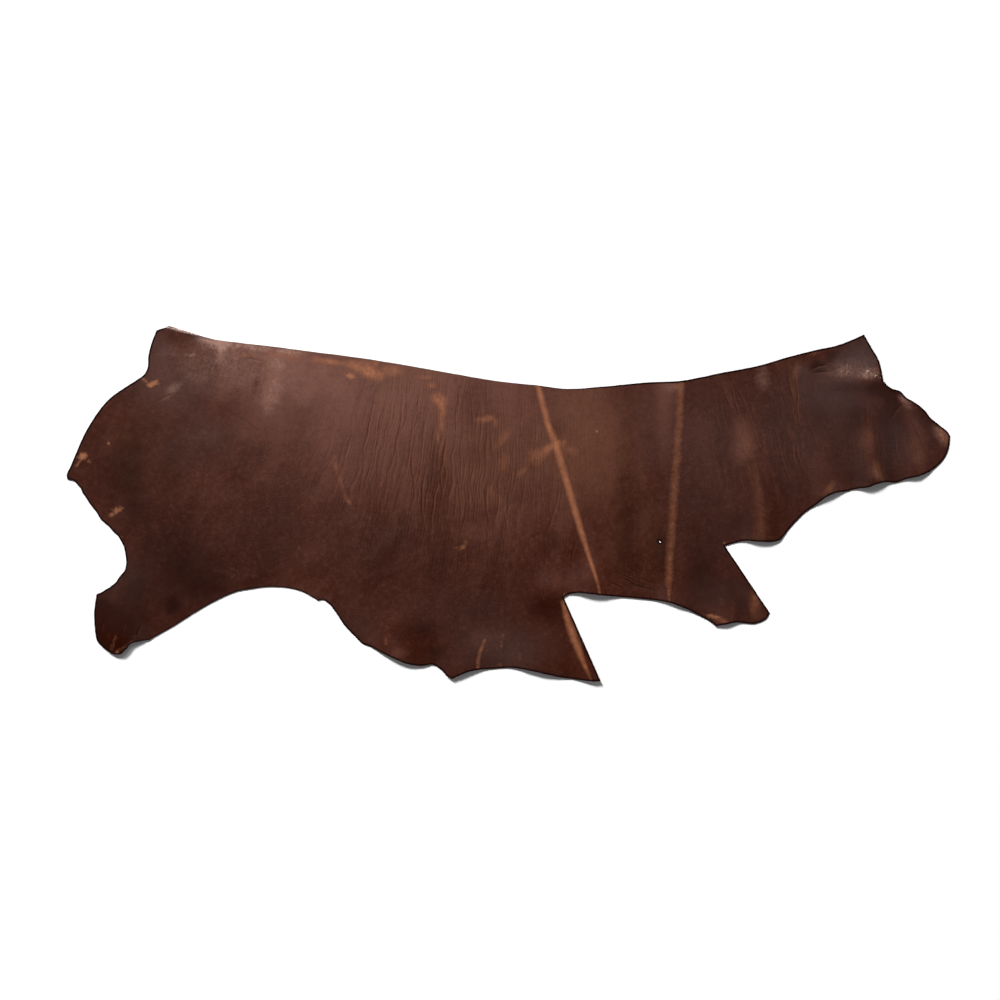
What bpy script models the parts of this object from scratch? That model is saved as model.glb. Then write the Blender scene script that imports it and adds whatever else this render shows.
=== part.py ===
"""A side of tanned cattle leather, laid out on a floor with its grain up.

The hide is one sheet. Its cut edge is a closed loop of named stretches, its
height off the floor is a function of the place on it, and that surface gets
the leather's thickness.

Metres, +Z up. The floor is z = 0, +X runs from the butt to the muzzle, +Y from
the belly to the backbone, and the origin lies under the middle of the outline.
"""

from collections import namedtuple
from math import ceil, cos, pi, radians, sin

import bpy
import numpy as np
from mathutils import Vector
from mathutils.geometry import delaunay_2d_cdt

MM = 0.001

# Driving sizes, in millimetres. The loop CUT_EDGE makes the hide 2649 long and 1067 wide.
THICKNESS = 2.0
EDGE_STEP = 17.0  # the most between two points of the cut edge
GRID_PITCH = 30.0  # between the points inside it, where the sheet is off the floor
FLAT_PITCHES = 3  # where it lies flat, one point of the grid in this many, each way
EDGE_CLEAR = 18.0  # and none nearer to the cut edge than this

HOLE_AT = (454, -114)  # a small slit worn through the flank
HOLE_LENGTH = 10.0
HOLE_WIDTH = 4.0
HOLE_TURN = -50  # degrees from +X
HOLE_POINTS = 12

LEATHER_COLOUR = (0.052, 0.020, 0.013, 1)  # dark brown, linear
LEATHER_ROUGHNESS = 0.5

# The cut edge, clockwise from the tail. A stretch is a smooth curve through its points, and
# it ends at the corner that starts the next one.
CUT_EDGE = {
    "tail": ((-1056, 519), (-1045, 523), (-1030, 527), (-1018, 533)),
    "backbone": (
        (-1018, 533), (-985, 523), (-940, 508), (-880, 492), (-805, 482), (-715, 472),
        (-595, 456), (-475, 441), (-325, 418), (-175, 391), (-25, 366), (80, 355),
        (178, 344), (275, 350), (410, 363), (515, 368), (635, 391), (755, 415),
        (845, 441), (920, 460), (998, 478), (1040, 495), (1066, 507),
    ),
    "neck end": ((1066, 507), (1078, 487), (1093, 460), (1110, 431), (1118, 400), (1123, 370)),
    "cheek": (
        (1123, 370), (1132, 358), (1147, 346), (1177, 335), (1189, 321), (1222, 301),
        (1246, 282), (1267, 256), (1294, 234), (1318, 214), (1325, 203),
    ),
    "muzzle": ((1325, 203), (1324, 187), (1318, 157), (1303, 130), (1282, 109), (1261, 94)),
    "throat": (
        (1261, 94), (1231, 82), (1195, 74), (1168, 64), (1126, 63), (1102, 58), (1081, 49),
        (1048, 45), (1018, 37), (979, 31), (952, 19), (922, -4), (883, -33), (853, -64),
        (816, -109),
    ),
    "armpit": ((816, -109), (800, -114), (755, -115), (700, -113), (673, -120), (649, -127)),
    "fore shank cut": ((649, -127), (784, -328)),
    "fore shank end": (
        (784, -328), (774, -345), (757, -355), (736, -361), (715, -360), (680, -357),
        (650, -363), (623, -368),
    ),
    "flank": (
        (623, -368), (601, -352), (568, -334), (529, -315), (484, -298), (424, -289),
        (364, -283), (304, -278), (250, -272), (202, -269), (178, -274), (166, -282),
    ),
    "flank cut": ((166, -282), (276, -532)),
    "belly, fore half": (
        (276, -532), (256, -533), (214, -529), (160, -522), (109, -511), (64, -501),
        (10, -493), (-40, -496), (-91, -499), (-127, -507), (-169, -526),
    ),
    "belly, hind half": (
        (-169, -526), (-177, -522), (-202, -498), (-226, -484), (-259, -487), (-295, -483),
        (-340, -466), (-385, -445), (-415, -429), (-433, -423), (-463, -396), (-493, -364),
        (-520, -324), (-540, -300), (-559, -289), (-571, -292),
    ),
    "groin": (
        (-571, -292), (-586, -282), (-622, -263), (-664, -253), (-709, -250), (-763, -255),
        (-817, -265), (-877, -291), (-937, -325), (-1006, -369), (-1075, -408),
    ),
    "hind shank end": (
        (-1075, -408), (-1105, -414), (-1129, -421), (-1147, -440), (-1164, -453),
        (-1186, -451), (-1204, -441), (-1230, -417), (-1239, -388), (-1242, -334),
        (-1239, -295), (-1234, -273),
    ),
    "hock": (
        (-1234, -273), (-1210, -259), (-1183, -240), (-1165, -217), (-1149, -195),
        (-1146, -166), (-1153, -136), (-1168, -103), (-1189, -78), (-1221, -48),
        (-1249, -7), (-1273, 25), (-1290, 55), (-1303, 67), (-1323, 73),
    ),
    "butt": (
        (-1323, 73), (-1325, 85), (-1315, 108), (-1297, 151), (-1273, 205), (-1249, 247),
        (-1222, 286), (-1192, 318), (-1159, 342), (-1117, 369), (-1093, 387), (-1083, 406),
        (-1080, 442), (-1072, 475), (-1056, 519),
    ),
}

# Waves of the edge that stand off the floor. A wave is highest at x, y on the edge. It runs
# out over `along` to both sides and over `inward` in the direction `toward`, in degrees.
Wave = namedtuple("Wave", "place x y toward along inward height")
WAVES = (
    Wave("hind shank end", -1140, -437, 118, 88, 150, 11),
    Wave("belly, at the groin", -325, -464, 72, 116, 150, 10),
    Wave("belly corner", -135, -520, 90, 96, 130, 9),
    Wave("belly, middle", 90, -506, 84, 112, 150, 9.5),
    Wave("belly tip", 268, -530, 120, 75, 120, 9),
    Wave("flank", 256, -274, 95, 92, 130, 11),
    Wave("flank, fore end", 500, -302, 80, 80, 100, 6),
    Wave("fore shank end", 655, -362, 95, 56, 90, 6),
    Wave("armpit", 758, -114, 86, 84, 260, 9),
    Wave("throat, hind fold", 962, 24, 104, 66, 360, 9),
    Wave("throat, middle fold", 1096, 58, 94, 70, 330, 12),
    Wave("throat, fore fold", 1226, 82, 101, 62, 260, 7),
)
OUTWARD_HOLD = 25.0  # a wave keeps its height this far past its middle line
OUTWARD_END = 60.0  # and has none from here on

# Soft folds inside the hide, each along a line from x1, y1 to x2, y2 and wider on one side.
Fold = namedtuple("Fold", "place x1 y1 x2 y2 left right height")
FOLDS = (
    Fold("neck, across", 900, 366, 1170, 366, 110, 42, 5),
    Fold("behind the flank cut", 60, -250, 190, -268, 90, 60, 3),
    Fold("beside the flank cut", 190, -300, 258, -500, 28, 40, 3),
)

# The backbone edge turns down to the floor over a low ridge behind the tail.
RIDGE_HEIGHT = 4.5
RIDGE_CREST = 7.0  # from the edge to the top of the ridge
RIDGE_WIDTH = 70.0
RIDGE_FULL_TO_X = -990.0  # the ridge keeps its height as far as this
RIDGE_END_X = -880.0
RIDGE_START_X = -1050.0
RIDGE_RUN_UP = 30.0  # over which it starts


def smooth_stretch(points, step):
    """Points no more than step apart on a cubic curve through the given ones, without the last.

    Each span is a Hermite cubic, and its slope at a point is that of the parabola through the
    point and its two neighbours.
    """
    knots = np.array(points, float)
    reach = np.append(0, np.cumsum(np.hypot(*np.diff(knots, axis=0).T)))
    slopes = np.gradient(knots, reach, axis=0)
    at = np.linspace(0, reach[-1], ceil(reach[-1] / step), endpoint=False)
    span = np.searchsorted(reach, at, side="right") - 1
    chord = np.diff(reach)[span, None]
    t = (at - reach[span])[:, None] / chord
    return (
        knots[span] * (1 + 2 * t) * (1 - t) ** 2
        + knots[span + 1] * t**2 * (3 - 2 * t)
        + slopes[span] * chord * t * (1 - t) ** 2
        - slopes[span + 1] * chord * t**2 * (1 - t)
    )


def cut_edge():
    return np.concatenate([smooth_stretch(points, EDGE_STEP) for points in CUT_EDGE.values()])


def hole_edge():
    """The slit's edge: an ellipse turned by HOLE_TURN."""
    turn = radians(HOLE_TURN)
    around = np.arange(HOLE_POINTS) * 2 * pi / HOLE_POINTS
    u = HOLE_LENGTH / 2 * np.cos(around)
    v = HOLE_WIDTH / 2 * np.sin(around)
    return np.array(HOLE_AT) + np.stack([u * cos(turn) - v * sin(turn), u * sin(turn) + v * cos(turn)], 1)


def bell(t):
    """1 at t = 0, falling as a squared cosine to 0 at t = 1 and beyond."""
    return np.cos(np.clip(np.abs(t), 0, 1) * pi / 2) ** 2


def wave_height(wave, x, y):
    """A bell along the edge, times a bell that runs out inwards."""
    turn = radians(wave.toward)
    inward = (x - wave.x) * cos(turn) + (y - wave.y) * sin(turn)
    along = (x - wave.x) * sin(turn) - (y - wave.y) * cos(turn)
    fade = bell(inward.clip(0) / wave.inward)
    past = bell(np.clip(-inward - OUTWARD_HOLD, 0, None) / (OUTWARD_END - OUTWARD_HOLD))
    return wave.height * bell(along / wave.along) * fade * past


def fold_height(fold, x, y):
    """A bell across the fold's line, times a bell from the line's middle to its two ends."""
    run = np.array([fold.x2 - fold.x1, fold.y2 - fold.y1], float)
    length = np.hypot(*run)
    run /= length
    along = (x - fold.x1) * run[0] + (y - fold.y1) * run[1]
    across = (y - fold.y1) * run[0] - (x - fold.x1) * run[1]
    width = np.where(across > 0, fold.left, fold.right)
    return fold.height * bell(across / width) * bell(2 * along / length - 1)


def ridge_height(x, y):
    """A steep rise from the backbone edge to the ridge's top and a long fall behind it."""
    back = np.array(CUT_EDGE["backbone"], float)
    inside = np.interp(x, back[:, 0], back[:, 1]) - y
    rise = np.clip(inside / RIDGE_CREST, 0, 1)
    fall = bell((inside - RIDGE_CREST) / (RIDGE_WIDTH - RIDGE_CREST))
    end = bell((x - RIDGE_FULL_TO_X).clip(0) / (RIDGE_END_X - RIDGE_FULL_TO_X))
    start = np.clip((x - RIDGE_START_X) / RIDGE_RUN_UP, 0, 1)
    return RIDGE_HEIGHT * np.where(inside < RIDGE_CREST, rise, fall) * end * start


def lift(x, y):
    """How far the underside is off the floor at x, y. It is exactly 0 where the hide lies flat."""
    waves = sum(wave_height(wave, x, y) for wave in WAVES)
    folds = sum(fold_height(fold, x, y) for fold in FOLDS)
    return waves + folds + ridge_height(x, y)


def inside_loop(x, y, loop):
    """Whether each point is inside: a line from it to +X crosses the loop an odd number of times."""
    x1, y1 = loop.T[:, None, :]
    x2, y2 = np.roll(loop, -1, axis=0).T[:, None, :]
    spans = (y1 > y[:, None]) != (y2 > y[:, None])
    rise = np.where(y2 == y1, 1, y2 - y1)
    crossing = x1 + (y[:, None] - y1) * (x2 - x1) / rise
    return (spans & (crossing > x[:, None])).sum(axis=1) % 2 == 1


def grid_points(edge):
    """Points inside the edge: close together where the sheet lifts, far apart where it is flat."""
    low, high = edge.min(axis=0), edge.max(axis=0)
    columns, rows = np.ceil((high - low) / GRID_PITCH).astype(int)
    i, j = (axis.ravel() for axis in np.meshgrid(np.arange(columns), np.arange(rows)))
    x = low[0] + (i + 0.5 * (j % 2)) * GRID_PITCH
    y = low[1] + j * GRID_PITCH
    around = [lift(x + dx * GRID_PITCH, y + dy * GRID_PITCH) for dx in (-1, 0, 1) for dy in (-1, 0, 1)]
    wanted = (np.max(around, axis=0) > 0) | ((i % FLAT_PITCHES == 0) & (j % FLAT_PITCHES == 0))
    x, y = x[wanted], y[wanted]
    to_edge = np.hypot(x[:, None] - edge[:, 0], y[:, None] - edge[:, 1]).min(axis=1)
    to_hole = np.hypot(x - HOLE_AT[0], y - HOLE_AT[1])
    kept = inside_loop(x, y, edge) & (to_edge > EDGE_CLEAR) & (to_hole > HOLE_LENGTH)
    return np.stack([x[kept], y[kept]], axis=1)


def crest_points():
    """Points along the top of the ridge, so that its steep side stays narrow."""
    back = smooth_stretch(CUT_EDGE["backbone"], EDGE_STEP)
    back = back[(back[:, 0] > RIDGE_START_X + RIDGE_RUN_UP) & (back[:, 0] < RIDGE_END_X)]
    return back - (0, RIDGE_CREST)


def loop_edges(count, first):
    return [(first + i, first + (i + 1) % count) for i in range(count)]


def hide_surface():
    """The underside as triangles between the cut edge, the slit and the points inside."""
    edge = cut_edge()
    edge -= (edge.min(axis=0) + edge.max(axis=0)) / 2
    hole = hole_edge()
    flat = np.concatenate([edge, hole, crest_points(), grid_points(edge)])
    loops = loop_edges(len(edge), 0) + loop_edges(len(hole), len(edge))
    points, _, faces, *_ = delaunay_2d_cdt([Vector(p) for p in flat], loops, [], 1, 1e-4)
    x, y = np.array(points).T
    middle = np.array([(x[list(face)].mean(), y[list(face)].mean()) for face in faces])
    solid = ~inside_loop(*middle.T, hole)
    mesh = bpy.data.meshes.new("hide")
    corners = np.stack([x, y, lift(x, y)], axis=1) * MM
    mesh.from_pydata(corners.tolist(), [], [face for face, keep in zip(faces, solid) if keep])
    return mesh


def leather():
    material = bpy.data.materials.new("pull-up leather")
    material.use_nodes = True
    shader = material.node_tree.nodes["Principled BSDF"]
    shader.inputs["Base Color"].default_value = LEATHER_COLOUR
    shader.inputs["Roughness"].default_value = LEATHER_ROUGHNESS
    shader.inputs["Metallic"].default_value = 0
    material.diffuse_color = LEATHER_COLOUR
    return material


def main():
    for thing in list(bpy.data.objects):
        bpy.data.objects.remove(thing)
    collection = bpy.data.collections.new("leather_side")
    bpy.context.scene.collection.children.link(collection)
    mesh = hide_surface()
    mesh.materials.append(leather())
    mesh.shade_smooth()
    hide = bpy.data.objects.new("hide", mesh)
    collection.objects.link(hide)
    wall = hide.modifiers.new("thickness", "SOLIDIFY")
    wall.thickness = THICKNESS * MM
    wall.offset = 1  # the thickness goes up from the underside


main()
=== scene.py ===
"""Looks for a side of pull-up leather, laid out on a pale floor with its grain up.

The hide's fine sheet is worked out here from the same cut edge, waves and folds as its solid,
in millimetres, and is put into its mesh in metres.
"""

from collections import namedtuple
from math import ceil, cos, pi, radians, sin

import bpy
import numpy as np
from bpy.props import FloatProperty, FloatVectorProperty, PointerProperty
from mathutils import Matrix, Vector
from mathutils.geometry import delaunay_2d_cdt


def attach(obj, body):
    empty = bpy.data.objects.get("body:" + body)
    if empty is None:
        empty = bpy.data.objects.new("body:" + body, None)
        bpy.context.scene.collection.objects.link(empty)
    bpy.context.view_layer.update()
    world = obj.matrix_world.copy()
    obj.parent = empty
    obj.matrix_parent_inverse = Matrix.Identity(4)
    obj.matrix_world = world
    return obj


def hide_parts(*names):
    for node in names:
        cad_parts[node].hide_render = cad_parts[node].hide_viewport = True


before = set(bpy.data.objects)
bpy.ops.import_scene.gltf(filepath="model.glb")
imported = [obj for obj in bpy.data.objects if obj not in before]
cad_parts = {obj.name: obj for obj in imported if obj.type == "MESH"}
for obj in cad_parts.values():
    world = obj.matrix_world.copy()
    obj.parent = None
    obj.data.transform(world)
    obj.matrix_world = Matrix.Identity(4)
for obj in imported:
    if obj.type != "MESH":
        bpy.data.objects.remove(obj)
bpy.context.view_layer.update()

bl_info = {
    "name": "Leather side",
    "version": (1, 0, 0),
    "blender": (4, 5, 0),
    "location": "3D View > Sidebar > Leather",
    "description": "Lays out a side of pull-up leather with its grain, creases, marks and cut edge",
    "category": "Add Mesh",
}

MM = 0.001

# ---------------------------------------------------------------- the hide's shape, in millimetres

# The cut edge, clockwise from the tail. A stretch is a smooth curve through its points, and
# it ends at the corner that starts the next one.
CUT_EDGE = {
    "tail": ((-1056, 519), (-1045, 523), (-1030, 527), (-1018, 533)),
    "backbone": (
        (-1018, 533), (-985, 523), (-940, 508), (-880, 492), (-805, 482), (-715, 472),
        (-595, 456), (-475, 441), (-325, 418), (-175, 391), (-25, 366), (80, 355),
        (178, 344), (275, 350), (410, 363), (515, 368), (635, 391), (755, 415),
        (845, 441), (920, 460), (998, 478), (1040, 495), (1066, 507),
    ),
    "neck end": ((1066, 507), (1078, 487), (1093, 460), (1110, 431), (1118, 400), (1123, 370)),
    "cheek": (
        (1123, 370), (1132, 358), (1147, 346), (1177, 335), (1189, 321), (1222, 301),
        (1246, 282), (1267, 256), (1294, 234), (1318, 214), (1325, 203),
    ),
    "muzzle": ((1325, 203), (1324, 187), (1318, 157), (1303, 130), (1282, 109), (1261, 94)),
    "throat": (
        (1261, 94), (1231, 82), (1195, 74), (1168, 64), (1126, 63), (1102, 58), (1081, 49),
        (1048, 45), (1018, 37), (979, 31), (952, 19), (922, -4), (883, -33), (853, -64),
        (816, -109),
    ),
    "armpit": ((816, -109), (800, -114), (755, -115), (700, -113), (673, -120), (649, -127)),
    "fore shank cut": ((649, -127), (784, -328)),
    "fore shank end": (
        (784, -328), (774, -345), (757, -355), (736, -361), (715, -360), (680, -357),
        (650, -363), (623, -368),
    ),
    "flank": (
        (623, -368), (601, -352), (568, -334), (529, -315), (484, -298), (424, -289),
        (364, -283), (304, -278), (250, -272), (202, -269), (178, -274), (166, -282),
    ),
    "flank cut": ((166, -282), (276, -532)),
    "belly, fore half": (
        (276, -532), (256, -533), (214, -529), (160, -522), (109, -511), (64, -501),
        (10, -493), (-40, -496), (-91, -499), (-127, -507), (-169, -526),
    ),
    "belly, hind half": (
        (-169, -526), (-177, -522), (-202, -498), (-226, -484), (-259, -487), (-295, -483),
        (-340, -466), (-385, -445), (-415, -429), (-433, -423), (-463, -396), (-493, -364),
        (-520, -324), (-540, -300), (-559, -289), (-571, -292),
    ),
    "groin": (
        (-571, -292), (-586, -282), (-622, -263), (-664, -253), (-709, -250), (-763, -255),
        (-817, -265), (-877, -291), (-937, -325), (-1006, -369), (-1075, -408),
    ),
    "hind shank end": (
        (-1075, -408), (-1105, -414), (-1129, -421), (-1147, -440), (-1164, -453),
        (-1186, -451), (-1204, -441), (-1230, -417), (-1239, -388), (-1242, -334),
        (-1239, -295), (-1234, -273),
    ),
    "hock": (
        (-1234, -273), (-1210, -259), (-1183, -240), (-1165, -217), (-1149, -195),
        (-1146, -166), (-1153, -136), (-1168, -103), (-1189, -78), (-1221, -48),
        (-1249, -7), (-1273, 25), (-1290, 55), (-1303, 67), (-1323, 73),
    ),
    "butt": (
        (-1323, 73), (-1325, 85), (-1315, 108), (-1297, 151), (-1273, 205), (-1249, 247),
        (-1222, 286), (-1192, 318), (-1159, 342), (-1117, 369), (-1093, 387), (-1083, 406),
        (-1080, 442), (-1072, 475), (-1056, 519),
    ),
}
EDGE_STEP = 5.0
RAGGED_STRETCHES = ("hind shank end", "hock")  # torn a little rather than cut
RAGGED = 1.8  # how far their edge strays
TRIMMED = 0.5  # and a knife-cut stretch's

HOLE_AT = (454, -114)  # a small slit worn through the flank
HOLE_LENGTH = 10.0
HOLE_WIDTH = 4.0
HOLE_TURN = -50  # degrees from +X
HOLE_POINTS = 18

# Soft hills: clouds of this height whose lattice is a cell apart, drawn from their own seed.
Hills = namedtuple("Hills", "height cell seed")
EDGE_STRAY = (Hills(0.6, 11, 3), Hills(0.6, 27, 4))

# Waves of the edge that stand off the floor. A wave is highest at x, y on the edge. It runs
# out over `along` to both sides and over `inward` in the direction `toward`, in degrees.
Wave = namedtuple("Wave", "place x y toward along inward height")
WAVES = (
    Wave("hind shank end", -1140, -437, 118, 88, 150, 11),
    Wave("belly, at the groin", -325, -464, 72, 116, 150, 10),
    Wave("belly corner", -135, -520, 90, 96, 130, 9),
    Wave("belly, middle", 90, -506, 84, 112, 150, 9.5),
    Wave("belly tip", 268, -530, 120, 75, 120, 9),
    Wave("flank", 256, -274, 95, 92, 130, 11),
    Wave("flank, fore end", 500, -302, 80, 80, 100, 6),
    Wave("fore shank end", 655, -362, 95, 56, 90, 6),
    Wave("armpit", 758, -114, 86, 84, 260, 9),
    Wave("throat, hind fold", 962, 24, 104, 66, 360, 9),
    Wave("throat, middle fold", 1096, 58, 94, 70, 330, 12),
    Wave("throat, fore fold", 1226, 82, 101, 62, 260, 7),
)
OUTWARD_HOLD = 25.0  # a wave keeps its height this far past its middle line
OUTWARD_END = 60.0  # and has none from here on

# Soft folds inside the hide, each along a line from x1, y1 to x2, y2 and wider on one side.
Fold = namedtuple("Fold", "place x1 y1 x2 y2 left right height")
FOLDS = (
    Fold("neck, across", 900, 366, 1170, 366, 110, 42, 5),
    Fold("behind the flank cut", 60, -250, 190, -268, 90, 60, 3),
    Fold("beside the flank cut", 190, -300, 258, -500, 28, 40, 3),
)

# The backbone edge turns down to the floor over a low ridge behind the tail.
RIDGE_HEIGHT = 4.5
RIDGE_CREST = 7.0  # from the edge to the top of the ridge
RIDGE_WIDTH = 70.0
RIDGE_FULL_TO_X = -990.0  # the ridge keeps its height as far as this
RIDGE_END_X = -880.0
RIDGE_START_X = -1050.0
RIDGE_RUN_UP = 30.0  # over which it starts

# The sheet has never been pressed flat: it rolls a little everywhere, and the grain more finely.
ROLL_HEIGHT = 1.6
ROLL = (Hills(1.0, 170, 11), Hills(0.4, 60, 12))
UNEVEN = (Hills(0.12, 45, 21), Hills(0.06, 14, 22))

# Creases in the grain, listed one by one: each runs from x1, y1 to x2, y2, swings out by sway
# and back in so many bends, and is a trough this deep.
Crease = namedtuple("Crease", "x1 y1 x2 y2 sway bends depth")
CREASES = [Crease(*row) for row in (
    (-314, 368, -387, -37, 12, 1, 0.9),
    (-354, 320, -398, 203, -3, 1, 0.7),
    (-366, 203, -395, 61, -8, 1, 0.8),
    (-275, 203, -300, -44, -10, 2, 1.1),
    (-247, 125, -250, -92, -12, 1, 1.25),
    (-228, 53, -250, 9, 2, 1, 0.6),
    (-185, 197, -194, -13, -12, 1, 1.1),
    (-152, 74, -143, -59, 3, 1, 1.05),
    (-110, 95, -104, -44, -3, 2, 1.0),
    (-66, 65, -56, -83, -5, 1, 1.2),
    (-32, 80, -41, -59, 7, 1, 1.15),
    (-57, 239, -35, 95, -4, 1, 0.85),
    (-66, 362, -58, 265, -2, 1, 0.6),
    (-106, 332, -109, 203, -3, 2, 0.7),
    (15, 197, 8, 50, 3, 1, 0.7),
    (-437, 173, -443, -29, 3, 2, 0.7),
    (-323, 65, -341, -44, -3, 1, 0.6),
    (-150, 362, -152, 262, 2, 1, 0.5),
    (30, 314, 45, 179, 3, 2, 0.5),
    (47, 122, 40, -50, 3, 2, 0.6),
    (100, 104, 97, -12, -3, 2, 0.6),
    (151, 65, 108, -100, 10, 1, 0.7),
    (204, -104, 189, -195, -2, 1, 0.6),
    (-525, 150, -488, 5, 4, 2, 0.6),
    (316, -205, 382, -234, 3, 1, 1.9),
    (330, -221, 412, -249, 2, 2, 1.9),
    (362, -240, 450, -266, 2, 1, 1.9),
    (350, -190, 406, -214, 1, 1, 1.6),
    (396, -222, 456, -242, -2, 1, 1.6),
    (300, -236, 356, -258, 2, 1, 1.6),
    (452, -180, 524, -208, 2, 1, 1.1),
    (906, 402, 962, 416, 3, 1, 1.3),
    (914, 393, 968, 399, -3, 1, 1.2),
    (930, 410, 970, 425, 2, 1, 0.7),
    (1012, 440, 1004, 372, 2, 1, 0.7),
    (1026, 436, 1022, 366, -2, 1, 0.6),
    (1188, 304, 1140, 246, -3, 1, 0.9),
    (628, 376, 712, 214, -6, 1, 0.8),
    (716, 208, 802, 96, 6, 1, 0.6),
    (662, 184, 752, 90, 9, 1, 0.7),
    (694, 112, 784, 16, 5, 1, 0.6),
    (1194, 266, 1258, 150, 3, 2, 0.8),
    (1212, 236, 1266, 132, -3, 1, 0.7),
    (1066, 326, 1080, 206, 3, 2, 0.6),
    (1094, 250, 1106, 140, 3, 2, 0.55),
    (-1014, 525, -880, 491, -4, 1, 1.1),
    (-722, 426, -756, 300, 3, 1, 0.45),
    (838, 408, 862, 240, -3, 2, 1.1),
    (850, 400, 884, 200, 4, 2, 1.0),
    (868, 300, 934, 142, 4, 1, 0.6),
    (640, 390, 712, 240, 5, 2, 0.85),
    (664, 380, 740, 220, 4, 1, 0.8),
    (700, 262, 790, 115, 5, 2, 0.8),
    (676, 210, 730, 130, 5, 2, 0.6),
    (735, 10, 780, -14, 2, 1, 0.9),
    (742, -12, 798, -50, 3, 1, 0.9),
    (748, -40, 806, -66, 2, 1, 0.8),
    (1108, 120, 1131, 66, 2, 1, 1.1),
    (1096, 130, 1116, 74, 2, 1, 1.0),
    (784, 222, 904, 150, -6, 1, 0.45),
    (-828, 268, -742, 212, 3, 1, 0.4),
    (-620, 80, -560, 195, 3, 2, 0.4),
    (-585, 40, -520, 150, 3, 1, 0.4),
    (-842, -188, -814, -198, 1, 1, 1.3),
    (-1058, 302, -1008, 330, 2, 1, 0.9),
    (-830, 462, -832, 412, 2, 1, 0.8),
    (-798, 434, -738, 429, 1, 1, 0.8),
    (-1179, -394, -1188, -440, 1, 1, 0.8),
    (58, -108, 98, -92, 3, 1, 1.0),
    (-1104, -364, -1113, -400, 1, 1, 1.0),
    (-1150, -346, -1158, -394, 2, 1, 0.8),
    (-1214, -346, -1221, -394, 2, 1, 0.8),
)]
CREASE_WIDTH = 2.7  # half a trough's width
DEEPEST_TROUGH = 1.4  # no trough goes deeper into the sheet: a deeper row only gets more painted shade
CREASE_REACH = 3  # from its middle to where a trough ends, in half widths
CREASE_RUN_OUT = 0.6  # the less this is, the more abruptly a crease starts and ends
CREASE_WIGGLE = 2.4  # how far it strays from its smooth line
CREASE_WIGGLE_RUN = 26.0
CREASE_WIGGLE_ROW = 2.5  # how far one crease's wiggle is from the next one's in their cloud

# The fat wrinkles between them: nearly parallel troughs that meander together, each with its
# own strength along its run. Those at both ends of the side lean.
WRINKLE_X = (-560, 340)
WRINKLE_Y = (-230, 400)
WRINKLE_LEAN_X = (-900, -560, -300, 0, 480, 680, 900, 1150)  # sideways for each millimetre up
WRINKLE_LEANS = (0.5, 0.35, 0.14, 0.0, 0.0, -0.28, -0.3, -0.1)
WRINKLE_PITCH = 10.0
MEANDER = (Hills(13, 150, 31),)  # how far they meander together
WANDER = 4.5  # and each along itself
WANDER_CELL = (60, 42)
WRINKLE_RUN = 130.0  # along which a wrinkle keeps its strength
WRINKLE_WIDTH = 2.4  # half a trough's width
WRINKLE_DEPTH = 0.76
WRINKLE_SHARE = (0.25, 1.1)  # its mean strength, and how far a cloud takes it up or down
WRINKLE_ROW = 1.37  # how far one wrinkle's strength is from the next one's in that cloud

# Tan lines where the leather was once folded: the wax has moved away from the bend. Width
# and strength run evenly from the start to the end.
Line = namedtuple("Line", "place points start_width end_width start_strength end_strength")
PULL_UP_LINES = (
    Line("fold across the side, top", ((86, 362), (118, 238), (143, 172)), 21, 24, 0.9, 1.15),
    Line("fold across the side", ((143, 172), (164, 100), (194, -2), (224, -104)), 25, 22, 1.2, 1.1),
    Line("fold across the side, end", ((224, -104), (245, -170), (266, -236), (276, -280)), 20, 8, 1.1, 0.7),
    Line("its branch", ((148, 184), (118, 164), (78, 138)), 20, 36, 0.95, 0.2),
    Line("fold before the flank, top", ((518, 366), (514, 280), (504, 130)), 20, 22, 0.4, 0.27),
    Line("fold before the flank", ((504, 130), (495, 10), (487, -110), (481, -230)), 22, 22, 0.27, 0.33),
    Line("fold before the flank, end", ((481, -230), (481, -300)), 18, 6, 0.33, 0.5),
    Line("beside the flank cut, top", ((164, -296), (177, -350), (199, -410)), 18, 29, 0.9, 1.1),
    Line("beside the flank cut", ((199, -410), (221, -468), (247, -526)), 29, 8, 1.1, 0.6),
    Line("belly", ((-72, -410), (-83, -436), (-91, -465), (-91, -496)), 10, 12, 0.42, 0.58),
    Line("belly, second", ((-17, -396), (-22, -436), (-23, -488)), 6, 6, -0.08, 0.05),
    Line("hook on the belly", ((-128, -114), (-135, -131), (-147, -137), (-159, -133)), 8, 7, 0.05, -0.05),
    Line("worn wrinkle", ((-521, 140), (-517, 100), (-504, 71), (-497, 40), (-484, 8)), 7, 7, -0.1, 0.0),
    Line("shank, along", ((-1175, -398), (-1190, -438)), 6, 6, -0.12, -0.08),
    Line("shank, edge", ((-1176, -444), (-1140, -424), (-1100, -410)), 7, 7, 0.05, 0.1),
)

# Soft patches. A blob fades from x, y over `along` in the direction `turn`, in degrees, and over
# `across`. Where no turn is given it is 0.
Blob = namedtuple("Blob", "x y along across amount turn", defaults=[0])
BLOB_HILLS = (Hills(1.0, 62, 61), Hills(0.6, 24, 62))
BLOB_STRAY = 12.0  # how far their ovals stray with those hills
BLOB_RAGGED = 0.25  # and at most this share

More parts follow.
